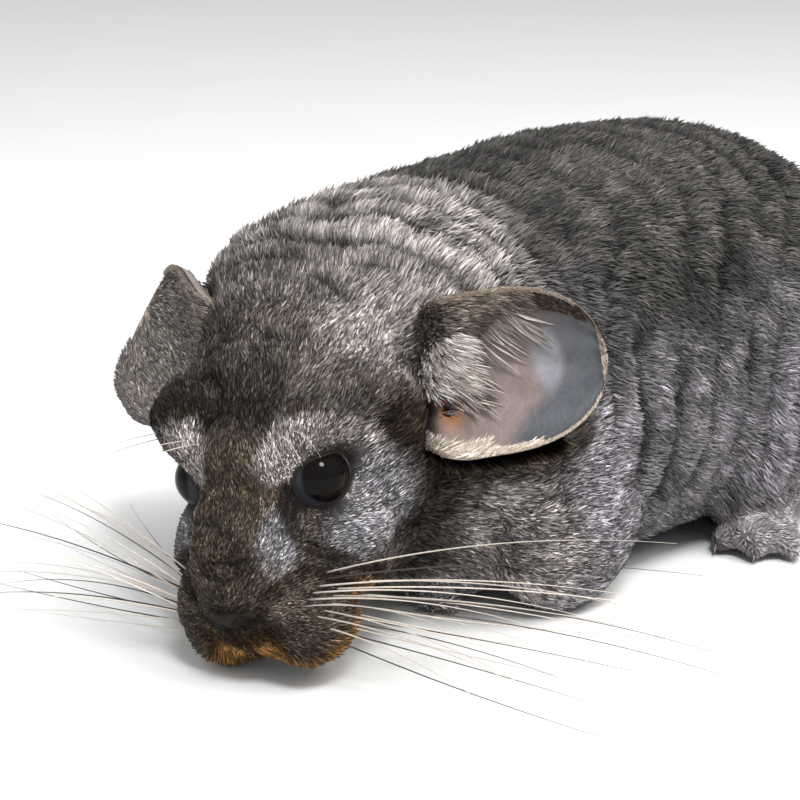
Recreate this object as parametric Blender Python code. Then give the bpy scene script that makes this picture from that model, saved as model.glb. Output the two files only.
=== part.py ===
"""A chinchilla at life size, crouched on its belly with its head lowered and stretched forward.

The animal faces -Y, its left side is +X and +Z is up. It rests on the floor z = 0 on its
belly, its four feet and its tail. The soft body is fused from a few named masses, drawn to
the tips of the coat, and is then parted into head, neck, torso and legs by thin cuts.
Every size below is in millimetres and MM turns it into Blender's metres.
"""

import math
import random

import bmesh
import bpy
import numpy as np
from mathutils import Matrix, Vector

MM = 0.001
GAP = 0.3
RNG = random.Random(41)

# Torso and neck: station along Y, shift to the left, top of the back, underside, half width
TRUNK_STATIONS = (
    (-78, -10, 57, 20, 15),
    (-68, -11, 69, 11, 23),
    (-59, -10, 75.5, 5, 29),
    (-50, -7, 78.5, 1, 34),
    (-40, -3, 80.5, -1, 38),
    (-20, 0, 83, -2, 39),
    (2, 0, 84.5, -2, 41),
    (24, 0, 84.5, -2, 42),
    (44, 0, 82.5, -2, 41.5),
    (62, 0, 74, 0, 39),
    (76, 0, 60, 4, 33),
    (86, 0, 44, 9, 23),
    (92, 0, 33, 13, 12),
)
TRUNK_SQUARENESS = 2.35

# Masses fused to the trunk, the left one of each pair: centre, half sizes
SHOULDER = ((20, -36, 42), (17, 20, 27))
FORELEG_MASS = ((26, -30, 19), (13, 19, 20))
HAUNCH_MASS = ((28, 41, 34), (20, 34, 32))
KNEE_MASS = ((33, 27, 21), (12, 18, 19))
# The roll of neck that the turned head pushes out on the right
NECK_ROLL = ((-24.5, -53, 46), (21.5, 15.3, 26.3))

# Head: its own frame is forward, left, up from the point between the two eyes
HEAD_ORIGIN = (2, -86, 34)
HEAD_YAW = 18.8
HEAD_PITCH = 31.5
HEAD_ROLL = 12.5
CRANIUM = ((-20, 0, 0), (20, 23, 18))
CHEEK = ((-12, 12, -10), (17, 13, 14))
CHEEK_FRONT = ((4.2, 14.7, -12.3), (10.5, 8.2, 8.8))
JOWL = ((-4, 13, -17), (11, 9, 9))
BRIDGE = ((4, 0, -5), (20, 12.5, 12))
MUZZLE_MASS = ((14, 0, -11.5), (13, 11, 13.2))
WHISKER_PAD = ((16, 8, -15.6), (10, 9, 10.5))
BROW = ((-8.3, 14.4, 6.8), (13.5, 9.2, 7.8))
FOREHEAD = ((-7, 0, 5), (16, 13, 8.5))
TEMPLE = ((-13, 18, -0.5), (13, 8.6, 11))
THROAT = ((-19, 0, -15), (14, 15, 12))
CHIN = ((9, 0, -19), (12, 7.5, 7.5))
MOUTH_FLOOR = ((-4, 0, -16), (14, 12, 9))
EYE_CENTRE = (0, 11.8, 0)
EYE_RADIUS = 5.6
LID_THICKNESS = 1.3
EYE_GAZE = (0.42, 0.84, 0.34)
EYE_OPENING = (5.1, 4.6)
NOSE = ((24.8, 0, -7), (2.8, 4.6, 3.2))
NOSTRIL = ((27.2, 2.4, -7.4), (1.7, 0.9, 0.7))
JAW_CUT = ((9, 0, -26), (12, 7.5, 7))
LIP_CLEFT = ((27, 0, -17), (2.4, 0.7, 6.5))
MUZZLE_CUT = 7

# Whiskers: from the pads outwards, drooping, clear of the floor
WHISKERS_A_SIDE = 10
WHISKER_THICKNESS = 0.64
WHISKER_LENGTHS = (62, 98)
WHISKER_LOWEST = 3

# Ears: thin cups held out sideways, the right one laid further back
EAR_ROOT = (-20, 17, -0.5)
EAR_LENGTH = 40
EAR_WIDTH = 28.5
EAR_DEPTH = 8
EAR_WALL = 1.8
EAR_DIRECTIONS = {1: (-0.339, 0.927, -0.16), -1: (-0.66, -0.752, -0.01)}
EAR_FACINGS = {1: (0.678, 0.359, 0.642), -1: (0.4, -0.361, 0.842)}
EAR_ROWS = 11
EAR_COLUMNS = 10

# Parting planes: point, normal towards the tail
HEAD_PARTING = ((-8, -63, 59), (-0.15, 0.97, 0.15))
NECK_PARTING = ((0, -47, 45), (0, 1, -0.25))

# Tail: centre line from inside the rump to the tip, laid on the floor
TAIL_LINE = ((0, 70, 26), (0, 86, 19), (3, 104, 12), (10, 126, 10), (21, 148, 10), (34, 168, 9.5),
             (46, 186, 9))
TAIL_FUR_RADIUS = (13, 15, 16.5, 17, 16.5, 14, 8)
TAIL_PARTING_AT = (0.40, 0.70)
TAIL_CORE_SHARE = 0.42
TAIL_LOCKS = 54
TAIL_FIRST_LOCK = 3.2
TAIL_LOCK_LENGTH = 30
TAIL_LOCK_WIDTH = 9.5

# Feet
HIND_TOES_AT = (41, 15)
HIND_FOOT_SPLAY = 27
FOREPAW_AT = (11, -53)
FOREPAW_SPLAY = 8

# Fineness of the fused skin and of the solids
BODY_VOXEL = 1.6
HEAD_VOXEL = 1.0
FOOT_VOXEL = 0.6
TORSO_TRIANGLES = 1800
HEAD_TRIANGLES = 2800

COAT_GREY = (0.20, 0.19, 0.19)
COAT_PALE = (0.42, 0.41, 0.42)
COAT_BROWN = (0.17, 0.14, 0.12)
SKIN_PINK = (0.42, 0.30, 0.28)
EYE_DARK = (0.010, 0.008, 0.007)
NOSE_DARK = (0.06, 0.045, 0.04)
TAIL_DARK = (0.12, 0.11, 0.11)


def clear_scene():
    for obj in list(bpy.data.objects):
        bpy.data.objects.remove(obj, do_unlink=True)


def material(name, colour, roughness):
    """A plain surface with the part's main colour."""
    made = bpy.data.materials.new(name)
    made.use_nodes = True
    shader = made.node_tree.nodes["Principled BSDF"]
    shader.inputs["Base Color"].default_value = (*colour, 1)
    shader.inputs["Roughness"].default_value = roughness
    shader.inputs["Metallic"].default_value = 0
    return made


def place(name, mesh, colour, roughness=0.9):
    """Put a finished solid into the scene under its own name."""
    mesh.name = name
    mesh.materials.clear()
    mesh.materials.append(material(name + "_finish", colour, roughness))
    mesh.shade_smooth()
    mesh.set_sharp_from_angle(angle=math.radians(40))
    obj = bpy.data.objects.new(name, mesh)
    bpy.context.collection.objects.link(obj)
    return obj


# Frames and small vector helpers
def head_axes():
    """The head's forward, left and up directions in the world."""
    yaw = math.radians(HEAD_YAW)
    pitch = math.radians(HEAD_PITCH)
    forward = Vector((math.sin(yaw) * math.cos(pitch), -math.cos(yaw) * math.cos(pitch),
                      -math.sin(pitch)))
    level_left = Vector((math.cos(yaw), math.sin(yaw), 0))
    left = Matrix.Rotation(math.radians(HEAD_ROLL), 3, forward) @ level_left
    return forward, left, forward.cross(left)


def head_matrix():
    forward, left, up = head_axes()
    turned = Matrix((forward, left, up)).transposed().to_4x4()
    return Matrix.Translation(Vector(HEAD_ORIGIN) * MM) @ turned


HEAD = head_matrix()


def head_point(point):
    return HEAD @ (Vector(point) * MM)


def head_direction(direction):
    return (HEAD.to_3x3() @ Vector(direction)).normalized()


# Mesh helpers
def mesh_from(bm, name="solid"):
    bmesh.ops.triangulate(bm, faces=bm.faces[:])
    mesh = bpy.data.meshes.new(name)
    bm.to_mesh(mesh)
    bm.free()
    return mesh


def add_ellipsoid(bm, centre, half_sizes, frame=Matrix.Identity(4), detail=3, grow=0.0):
    """One egg-shaped mass; grow moves its surface outwards."""
    sizes = [(half + grow) * MM for half in half_sizes]
    shape = Matrix.Translation(Vector(centre) * MM) @ Matrix.Diagonal((*sizes, 1))
    bmesh.ops.create_icosphere(bm, subdivisions=detail, radius=1, matrix=frame @ shape)


def ellipsoid_mesh(centre, half_sizes, frame=Matrix.Identity(4), detail=3, grow=0.0):
    bm = bmesh.new()
    add_ellipsoid(bm, centre, half_sizes, frame, detail, grow)
    return mesh_from(bm)


def add_pair(bm, mass, frame=Matrix.Identity(4), lateral=0):
    """The mass and its mirror image; lateral is the index of the sideways axis."""
    centre, half_sizes = mass
    for side in (1, -1):
        sided = list(centre)
        sided[lateral] *= side
        add_ellipsoid(bm, sided, half_sizes, frame)


def catmull_rom(points, steps):
    """Points on a smooth curve through the given ones, as rows of any width."""
    rows = np.array(points, dtype=float)
    padded = np.vstack([2 * rows[0] - rows[1], rows, 2 * rows[-1] - rows[-2]])
    curve = []
    for index in range(1, len(padded) - 2):
        before, start, end, after = padded[index - 1:index + 3]
        for step in range(steps):
            t = step / steps
            curve.append(0.5 * (2 * start + (end - before) * t
                                + (2 * before - 5 * start + 4 * end - after) * t * t
                                + (3 * start - before - 3 * end + after) * t ** 3))
    curve.append(rows[-1])
    return np.array(curve)


def add_loft(bm, rings):
    """A closed skin over rings of equally many points, with flat ends."""
    loops = [[bm.verts.new(point) for point in ring] for ring in rings]
    count = len(loops[0])
    for near, far in zip(loops, loops[1:]):
        for index in range(count):
            after = (index + 1) % count
            bm.faces.new((near[index], near[after], far[after], far[index]))
    bm.faces.new(list(reversed(loops[0])))
    bm.faces.new(loops[-1])


def evaluated(obj):
    """The mesh that the object's modifiers give, with the object itself removed."""
    graph = bpy.context.evaluated_depsgraph_get()
    result = bpy.data.meshes.new_from_object(obj.evaluated_get(graph))
    bpy.data.objects.remove(obj, do_unlink=True)
    return result


def temporary(mesh, name="temporary"):
    obj = bpy.data.objects.new(name, mesh)
    bpy.context.collection.objects.link(obj)
    return obj


def fused(mesh, voxel, smoothing):
    """Overlapping masses grown together into one soft closed skin."""
    obj = temporary(mesh)
    remesh = obj.modifiers.new("fuse", "REMESH")
    remesh.mode = "VOXEL"
    remesh.voxel_size = voxel * MM
    soften = obj.modifiers.new("soften", "SMOOTH")
    soften.factor = 0.5
    soften.iterations = smoothing
    return evaluated(obj)


def thinned(mesh, triangles):
    """The same skin in fewer triangles."""
    obj = temporary(mesh)
    split = obj.modifiers.new("split", "TRIANGULATE")
    split.quad_method = "FIXED"
    reduce = obj.modifiers.new("reduce", "DECIMATE")
    reduce.ratio = min(1.0, triangles / (2 * len(mesh.polygons)))
    return evaluated(obj)


def combined(mesh, other, operation):
    """Boolean of two closed meshes."""
    obj = temporary(mesh)
    tool = temporary(other, "tool")
    cut = obj.modifiers.new("cut", "BOOLEAN")
    cut.operation = operation
    cut.solver = "EXACT"
    cut.object = tool
    result = evaluated(obj)
    bpy.data.objects.remove(tool, do_unlink=True)
    return result


def minus(mesh, *others):
    for other in others:
        mesh = combined(mesh, other, "DIFFERENCE")
    return mesh


def common(mesh, other):
    return combined(mesh, other, "INTERSECT")


def joined(mesh, pieces):
    """The mesh with many closed pieces grown onto it by one union."""
    obj = temporary(mesh)
    group = bpy.data.collections.new("pieces")
    bpy.context.scene.collection.children.link(group)
    for piece in pieces:
        group.objects.link(bpy.data.objects.new("piece", piece))
    union = obj.modifiers.new("join", "BOOLEAN")
    union.operation = "UNION"
    union.solver = "EXACT"
    union.operand_type = "COLLECTION"
    union.collection = group
    result = evaluated(obj)
    for piece in list(group.objects):
        bpy.data.objects.remove(piece, do_unlink=True)
    bpy.data.collections.remove(group)
    return result


def kept_side(mesh, point, normal, offset=0.0):
    """The part of a closed mesh behind a plane, with the cut face filled in."""
    normal = Vector(normal).normalized()
    bm = bmesh.new()
    bm.from_mesh(mesh)
    everything = bm.verts[:] + bm.edges[:] + bm.faces[:]
    cut = bmesh.ops.bisect_plane(bm, geom=everything, plane_co=Vector(point) * MM + normal * offset * MM,
                                 plane_no=normal, clear_outer=True, dist=1e-7)
    rim = [item for item in cut["geom_cut"] if isinstance(item, bmesh.types.BMEdge)]
    bmesh.ops.holes_fill(bm, edges=rim, sides=0)
    return mesh_from(bm)


def on_floor(mesh):
    return kept_side(mesh, (0, 0, 0), (0, 0, -1))


def swollen(mesh, amount=GAP):
    """The skin moved outwards by a little, to cut a neighbour clear of it."""
    copy = mesh.copy()
    copy.vertices.foreach_set("co", moved_out(mesh, amount).ravel())
    return copy


def moved_out(mesh, amount):
    count = len(mesh.vertices)
    places = np.empty(count * 3, dtype=np.float32)
    normals = np.empty(count * 3, dtype=np.float32)
    mesh.vertices.foreach_get("co", places)
    mesh.vertex_normals.foreach_get("vector", normals)
    return (places + normals * amount * MM).reshape(-1, 3)


def largest_surface(mesh):
    """The biggest closed surface of a mesh, so that no loose scrap or sealed hollow stays."""
    bm = bmesh.new()
    bm.from_mesh(mesh)
    bmesh.ops.dissolve_degenerate(bm, dist=2e-6, edges=bm.edges[:])
    bmesh.ops.triangulate(bm, faces=bm.faces[:])
    unseen = set(bm.verts)
    groups = []
    while unseen:
        group = set()
        front = [unseen.pop()]
        while front:
            vert = front.pop()
            group.add(vert)
            for edge in vert.link_edges:
                other = edge.other_vert(vert)
                if other in unseen:
                    unseen.remove(other)
                    front.append(other)
        groups.append(group)
    groups.sort(key=lambda group: -box_size(group))
    extra = [vert for group in groups[1:] for vert in group]
    bmesh.ops.delete(bm, geom=extra, context="VERTS")
    return mesh_from(bm)


def box_size(group):
    places = np.array([vert.co[:] for vert in group])
    return float(np.prod(places.max(axis=0) - places.min(axis=0)))


# Body
def trunk_mesh():
    """The barrel of the torso and neck, from its stations."""
    rings = []
    for y, shift, top, bottom, half_width in catmull_rom(TRUNK_STATIONS, 4):
        middle = (top + bottom) / 2
        half_height = (top - bottom) / 2
        ring = []
        for step in range(40):
            turn = math.tau * step / 40
            across = math.copysign(abs(math.cos(turn)) ** (2 / TRUNK_SQUARENESS), math.cos(turn))
            rise = math.copysign(abs(math.sin(turn)) ** (2 / TRUNK_SQUARENESS), math.sin(turn))
            ring.append(Vector((shift + across * half_width, y, middle + rise * half_height)) * MM)
        rings.append(ring)
    bm = bmesh.new()
    add_loft(bm, rings)
    bmesh.ops.recalc_face_normals(bm, faces=bm.faces[:])
    add_ellipsoid(bm, *NECK_ROLL)
    return bm


def add_head_masses(bm):
    for mass in (CRANIUM, FOREHEAD, BRIDGE, MUZZLE_MASS, THROAT, CHIN, MOUTH_FLOOR):
        add_ellipsoid(bm, *mass, HEAD)
    for mass in (CHEEK, CHEEK_FRONT, JOWL, WHISKER_PAD, BROW, TEMPLE):
        add_pair(bm, mass, HEAD, lateral=1)
    lid = (EYE_CENTRE, (EYE_RADIUS + LID_THICKNESS,) * 3)
    add_pair(bm, lid, HEAD, lateral=1)


def body_skin():
    """The whole soft body as one skin, on its flat underside."""
    bm = trunk_mesh()
    for mass in (SHOULDER, FORELEG_MASS, HAUNCH_MASS, KNEE_MASS):
        add_pair(bm, mass)
    add_head_masses(bm)
    return on_floor(fused(mesh_from(bm), BODY_VOXEL, 10))


def head_skin():
    """The head and the neck behind it, finer than the body."""
    bm = trunk_mesh()
    add_head_masses(bm)
    skin = fused(mesh_from(bm), HEAD_VOXEL, 7)
    point, normal = HEAD_PARTING
    near = kept_side(skin, point, normal, 12)
    return thinned(near, HEAD_TRIANGLES)


# Head
def eye_opening(side):
    """The oval way out between the lids, along the gaze."""
    gaze = Vector(sided(EYE_GAZE, side)).normalized()
    along = Vector((1, 0, 0))
    along = (along - gaze * along.dot(gaze)).normalized()
    frame = Matrix((along, gaze.cross(along), gaze)).transposed().to_4x4()
    reach = 12
    bm = bmesh.new()
    bmesh.ops.create_cone(bm, cap_ends=True, segments=24, radius1=1, radius2=1, depth=reach,
                          matrix=Matrix.Translation((0, 0, reach / 2)))
    size = Matrix.Diagonal((EYE_OPENING[0] * MM, EYE_OPENING[1] * MM, MM, 1))
    bm.transform(HEAD @ Matrix.Translation(Vector(sided(EYE_CENTRE, side)) * MM) @ frame @ size)
    return mesh_from(bm)


def sided(centre, side):
    return (centre[0], centre[1] * side, centre[2])


def eye_ball(side, grow=0.0):
    return ellipsoid_mesh(sided(EYE_CENTRE, side), (EYE_RADIUS,) * 3, HEAD, 3, grow)


def nose_mesh(grow=0.0):
    return ellipsoid_mesh(*NOSE, HEAD, 3, grow)


def jaw_cutter(grow=0.0):
    return ellipsoid_mesh(*JAW_CUT, HEAD, 3, grow)


def nostril(side):
    centre, half_sizes = NOSTRIL
    return ellipsoid_mesh(sided(centre, side), half_sizes, HEAD, 2)


def muzzle_plane():
    return head_point((MUZZLE_CUT, 0, 0)) / MM, head_direction((1, 0, 0))


def build_head(skin):
    point, normal = muzzle_plane()
    back = kept_side(skin, *HEAD_PARTING, -GAP / 2)
    head = kept_side(back, point, normal, -GAP / 2)
    for side in (1, -1):
        head = minus(head, eye_ball(side, GAP), eye_opening(side))
    head = minus(head, jaw_cutter(GAP))
    place("head", largest_surface(head), COAT_GREY)
    muzzle = kept_side(back, point, -normal, -GAP / 2)
    muzzle = minus(muzzle, nose_mesh(GAP), jaw_cutter(GAP), ellipsoid_mesh(*LIP_CLEFT, HEAD, 2))
    whiskers = [whisker(side, index) for side in (1, -1) for index in range(WHISKERS_A_SIDE)]
    place("muzzle", largest_surface(joined(muzzle, whiskers)), COAT_BROWN)
    nose = minus(nose_mesh(), nostril(1), nostril(-1))
    place("nose", largest_surface(nose), NOSE_DARK, 0.5)
    place("lower_jaw", largest_surface(common(back, jaw_cutter())), COAT_BROWN)
    for side, label in ((1, "left"), (-1, "right")):
        place("eye_" + label, eye_ball(side), EYE_DARK, 0.05)
    return back


# Whiskers
def tapered_rod(points, radii, sides=3):
    """A thin closed rod through the points, few-sided and tapered."""
    rings = []
    for index, centre in enumerate(points):
        along = (points[min(index + 1, len(points) - 1)] - points[max(index - 1, 0)]).normalized()
        across = along.cross(Vector((0, 0, 1))).normalized()
        rise = across.cross(along)
        ring = []
        for step in range(sides):
            turn = math.tau * step / sides
            spoke = across * math.cos(turn) + rise * math.sin(turn)
            ring.append((centre + spoke * radii[index]) * MM)
        rings.append(ring)
    bm = bmesh.new()
    add_loft(bm, rings)
    bmesh.ops.recalc_face_normals(bm, faces=bm.faces[:])
    return mesh_from(bm)


def whisker(side, index):
    """One long whisker, rooted in its pad and swept out sideways and back."""
    share = index / (WHISKERS_A_SIDE - 1)
    row = index % 3
    root = Vector((20 - 6 * share, side * 13, -10 - 3.2 * row))
    start = HEAD @ (root * MM) / MM
    sweep = math.radians(-14 + 38 * share + 6 * row)
    length = WHISKER_LENGTHS[0] + (WHISKER_LENGTHS[1] - WHISKER_LENGTHS[0]) * share
    length *= RNG.uniform(0.86, 1.0)
    lift = math.radians(16 - 11 * row + RNG.uniform(-3, 3))
    _, left, _ = head_axes()
    heading = math.atan2(left.y, left.x) if side > 0 else math.atan2(-left.y, -left.x)
    turned = heading + side * sweep
    out = Vector((math.cos(turned) * math.cos(lift), math.sin(turned) * math.cos(lift), math.sin(lift)))
    droop = min(0.22 * length, start.z + out.z * length - WHISKER_LOWEST)
    points = []
    radii = []
    for step in range(8):
        t = step / 7
        point = start + out * length * t - Vector((0, 0, droop * t * t))
        points.append(point)
        radii.append(WHISKER_THICKNESS / math.sqrt(3) * (1 - 0.62 * t))
    return tapered_rod(points, radii)


# Ears
def ear_half_width(v):
    """Half the ear's breadth from its root, v = 0, to its round end, v = 1."""
    spread = 0.45 + 0.55 * math.sin(min(1.0, v * 2.6) * math.pi / 2)
    rounding = (1 - max(0.0, (v - 0.5) / 0.5) ** 2.6) ** (1 / 2.1)
    return max(EAR_WIDTH / 2 * spread * rounding, 0.6)


def ear_surface(u, v, offset):
    """A point on the cup in the ear's own frame: along, across, out of the cup."""
    half = ear_half_width(v)
    hollow = EAR_DEPTH * (u * half / (EAR_WIDTH / 2)) ** 2 * (1 - 0.35 * v)
    curl = 2.0 * v * v
    return Vector((v * EAR_LENGTH, u * half, hollow + curl + offset))


def ear_mesh(side):
    """The cup as two like skins a wall apart, joined round the rim."""
    along = Vector(EAR_DIRECTIONS[side]).normalized()
    facing = Vector(EAR_FACINGS[side])
    facing = (facing - along * facing.dot(along)).normalized()
    frame = Matrix((along, facing.cross(along), facing)).transposed().to_4x4()
    place_at = HEAD @ Matrix.Translation(Vector(sided(EAR_ROOT, side)) * MM) @ frame
    bm = bmesh.new()
    skins = []
    for offset in (EAR_WALL / 2, -EAR_WALL / 2):
        grid = []
        for row in range(EAR_ROWS + 1):
            v = 1 - (1 - row / EAR_ROWS) ** 1.8
            line = []
            for column in range(EAR_COLUMNS + 1):
                u = 2 * column / EAR_COLUMNS - 1
                line.append(bm.verts.new(place_at @ (ear_surface(u, v, offset) * MM)))
            grid.append(line)
        skins.append(grid)
    front, back = skins
    for row in range(EAR_ROWS):
        for column in range(EAR_COLUMNS):
            corners = ((row, column), (row, column + 1), (row + 1, column + 1), (row + 1, column))
            a, b, c, d = [front[r][k] for r, k in corners]
            bm.faces.new((a, b, c))
            bm.faces.new((a, c, d))
            a, b, c, d = [back[r][k] for r, k in corners]
            bm.faces.new((a, c, b))
            bm.faces.new((a, d, c))
    rim = [(0, k) for k in range(EAR_COLUMNS)]
    rim += [(r, EAR_COLUMNS) for r in range(EAR_ROWS)]
    rim += [(EAR_ROWS, k) for k in range(EAR_COLUMNS, 0, -1)]
    rim += [(r, 0) for r in range(EAR_ROWS, 0, -1)]
    for (r0, k0), (r1, k1) in zip(rim, rim[1:] + rim[:1]):
        bm.faces.new((front[r0][k0], back[r0][k0], back[r1][k1], front[r1][k1]))
    bmesh.ops.recalc_face_normals(bm, faces=bm.faces[:])
    return mesh_from(bm)


def build_ears(head_part, body):
    for side, label in ((1, "left"), (-1, "right")):
        ear = minus(ear_mesh(side), swollen(head_part), swollen(body))
        place("ear_" + label, largest_surface(ear), SKIN_PINK, 0.7)


# Legs and feet
def leg_cutters(side, grow=0.0):
    """The volumes that part each leg from the torso."""
    haunch = ((31 * side, 44, 28), (20, 35, 33))
    foreleg = ((31 * side, -29, 15), (15, 18, 20))
    return {"haunch": ellipsoid_mesh(*haunch, grow=grow),
            "foreleg": ellipsoid_mesh(*foreleg, grow=grow)}


def add_toe(bm, frame, root, tip, half_width, half_height):
    """One toe as an egg from its root to its tip."""
    root = Vector(root)
    tip = Vector(tip)
    along = (tip - root).normalized()
    across = Vector((0, 0, 1)).cross(along).normalized()
    turned = Matrix((across, along, across.cross(along))).transposed().to_4x4()
    middle = (root + tip) / 2
    half = (tip - root).length / 2
    spot = frame @ Matrix.Translation(middle * MM) @ turned
    add_ellipsoid(bm, (0, 0, 0), (half_width, half, half_height), spot, 2)


def foot_frame(at, splay, side):
    turn = Matrix.Rotation(math.radians(splay) * side, 4, "Z")
    return Matrix.Translation(Vector((at[0] * side, at[1], 0)) * MM) @ turn


def hind_foot_mesh(side):
    """A long sole with three spread toes and a small inner one; the toes lie towards -Y."""
    frame = foot_frame(HIND_TOES_AT, HIND_FOOT_SPLAY, side)
    bm = bmesh.new()
    add_ellipsoid(bm, (0, 24, 5), (6.5, 23, 5.5), frame)
    add_ellipsoid(bm, (0, 8, 4.5), (8, 11, 5), frame)
    for across, reach in ((-6.5, -1.5), (0, -4.5), (6.5, -2)):
        add_toe(bm, frame, (across * 0.7, 10, 4.2), (across * 1.25, reach, 2.4), 3.1, 3.2)
    add_toe(bm, frame, (-5 * side, 14, 4), (-9.5 * side, 5, 2.6), 2.4, 2.6)
    return on_floor(thinned(fused(mesh_from(bm), FOOT_VOXEL, 4), 600))


def forepaw_mesh(side):
    """A short paw with four toes."""
    frame = foot_frame(FOREPAW_AT, FOREPAW_SPLAY, side)
    bm = bmesh.new()
    add_ellipsoid(bm, (0, 11, 5), (5.2, 9, 5), frame)
    for across, reach in ((-4.2, 1.0), (-1.5, -1.0), (1.5, -1.0), (4.2, 1.0)):
        add_toe(bm, frame, (across * 0.7, 7, 3.6), (across * 1.2, reach, 1.9), 1.7, 2.0)
    return on_floor(thinned(fused(mesh_from(bm), FOOT_VOXEL, 3), 500))


def build_body(skin):
    point, normal = HEAD_PARTING
    body = thinned(kept_side(skin, point, -Vector(normal), 12), TORSO_TRIANGLES)
    body = on_floor(body)
    behind_head = kept_side(body, point, -Vector(normal), -GAP / 2)
    point, normal = NECK_PARTING
    neck = kept_side(behind_head, point, normal, -GAP / 2)
    torso = kept_side(behind_head, point, -Vector(normal), -GAP / 2)
    feet = []
    for side, label in ((1, "left"), (-1, "right")):
        for part, cutter in leg_cutters(side).items():
            place(part + "_" + label, largest_surface(common(torso, cutter)), COAT_GREY)
        torso = minus(torso, *leg_cutters(side, GAP).values())
        trimmer = swollen(body)
        hind_foot = minus(hind_foot_mesh(side), trimmer)
        place("hind_foot_" + label, largest_surface(hind_foot), COAT_PALE)
        forepaw = minus(forepaw_mesh(side), trimmer)
        place("forepaw_" + label, largest_surface(forepaw), COAT_PALE)
    place("torso", largest_surface(torso), COAT_GREY)
    place("neck", largest_surface(neck), COAT_PALE)
    return body


# Tail
def tail_frames():
    """Centre, direction, sideways and upward axes, and coat radius along the tail."""
    line = catmull_rom(TAIL_LINE, 5)
    radii = catmull_rom([(radius, 0) for radius in TAIL_FUR_RADIUS], 5)[:, 0]
    frames = []
    for index, centre in enumerate(line):
        ahead = line[min(index + 1, len(line) - 1)] - line[max(index - 1, 0)]
        along = Vector(ahead).normalized()
        across = Vector((0, 0, 1)).cross(along).normalized()
        frames.append((Vector(centre), along, across, along.cross(across), float(radii[index])))
    return frames


def tail_core(frames):
    rings = []
    for centre, _, across, rise, radius in frames:
        ring = []
        for step in range(10):
            turn = math.tau * step / 10
            spoke = across * math.cos(turn) + rise * math.sin(turn)
            ring.append((centre + spoke * radius * TAIL_CORE_SHARE) * MM)
        rings.append(ring)
    bm = bmesh.new()
    add_loft(bm, rings)
    bmesh.ops.recalc_face_normals(bm, faces=bm.faces[:])
    return mesh_from(bm)


def tail_lock(frames, at, turn):
    """One flat tapered lock, from inside the core out and back along the tail."""
    low = min(int(at), len(frames) - 2)
    part = at - low
    centre, along, across, rise, radius = [a.lerp(b, part) if isinstance(a, Vector) else a + (b - a) * part
                                           for a, b in zip(frames[low], frames[low + 1])]
    outward = across * math.cos(turn) + rise * math.sin(turn)
    width_way = along.cross(outward).normalized()
    length = TAIL_LOCK_LENGTH * RNG.uniform(0.85, 1.1)
    twist = RNG.uniform(-0.15, 0.15)
    core = radius * TAIL_CORE_SHARE
    rings = []
    steps = 3
    for step in range(steps + 1):
        t = step / steps
        reach = core * 0.55 + (radius - core * 0.55) * math.sin(t * math.pi / 2) ** 1.2
        spot = centre + along * length * (t - 0.1) + outward * reach + width_way * twist * length * t
        half = TAIL_LOCK_WIDTH / 2 * (0.6 + 0.9 * t) * (1 - t ** 2.6) ** 0.8 + 0.35
        thick = 0.8 * (1 - 0.6 * t)
        ring = [spot + width_way * half, spot + outward * thick, spot - width_way * half,
                spot - outward * thick]
        rings.append([corner * MM for corner in ring])
    bm = bmesh.new()
    add_loft(bm, rings)
    bmesh.ops.recalc_face_normals(bm, faces=bm.faces[:])
    return mesh_from(bm)


def floor_block():
    """Everything below the floor, to press the tail flat on it."""
    bm = bmesh.new()
    bmesh.ops.create_cube(bm, size=1)
    bm.transform(Matrix.Translation((0, 0.1, -0.05)) @ Matrix.Diagonal((0.6, 0.6, 0.1, 1)))
    return mesh_from(bm)


def build_tail(body):
    frames = tail_frames()
    last = len(frames) - 1
    locks = []
    golden_turn = math.pi * (3 - math.sqrt(5))
    for index in range(TAIL_LOCKS):
        at = TAIL_FIRST_LOCK + (last - 1 - TAIL_FIRST_LOCK) * index / (TAIL_LOCKS - 1)
        locks.append(tail_lock(frames, at, index * golden_turn))
    tail = largest_surface(joined(tail_core(frames), locks))
    tail = minus(tail, floor_block(), swollen(body))
    names = ("tail_base", "tail_middle", "tail_tip")
    for index, name in enumerate(names):
        piece = tail
        if index > 0:
            centre, along, *_ = frames[int(TAIL_PARTING_AT[index - 1] * last)]
            piece = minus(piece, half_space(centre, -along))
        if index < 2:
            centre, along, *_ = frames[int(TAIL_PARTING_AT[index] * last)]
            piece = minus(piece, half_space(centre, along))
        place(name, largest_surface(piece), TAIL_DARK)


def half_space(point, normal):
    """A large block beyond a plane, half the parting gap inside it."""
    turned = normal.to_track_quat("Z", "Y").to_matrix().to_4x4()
    size = 0.3
    bm = bmesh.new()
    bmesh.ops.create_cube(bm, size=size)
    shift = size / 2 - GAP / 2 * MM
    bm.transform(Matrix.Translation(point * MM) @ turned @ Matrix.Translation((0, 0, shift)))
    return mesh_from(bm)


def centre_on_origin():
    """Move everything so that the middle of the animal's box stands over the origin."""
    corners = np.array([vert.co[:] for obj in bpy.data.objects for vert in obj.data.vertices])
    middle = (corners.min(axis=0) + corners.max(axis=0)) / 2
    for obj in bpy.data.objects:
        obj.data.transform(Matrix.Translation((-middle[0], -middle[1], 0)))


def build():
    clear_scene()
    head_part = build_head(head_skin())
    body = build_body(body_skin())
    build_ears(head_part, body)
    build_tail(body)
    centre_on_origin()


build()
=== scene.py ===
# %% [markdown]
# # A chinchilla at life size
# This lesson dresses the solids of a crouching chinchilla with a skin, a dense coat, two cupped
# ears, dark wet eyes, a nose and long whiskers. The solids are loaded first and stay where they
# are. Every piece below is worked out in their frame and lies over them or takes their place.

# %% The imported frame
import math
from itertools import product

import bmesh
import bpy
import numpy as np
from mathutils import Matrix, Vector


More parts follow.
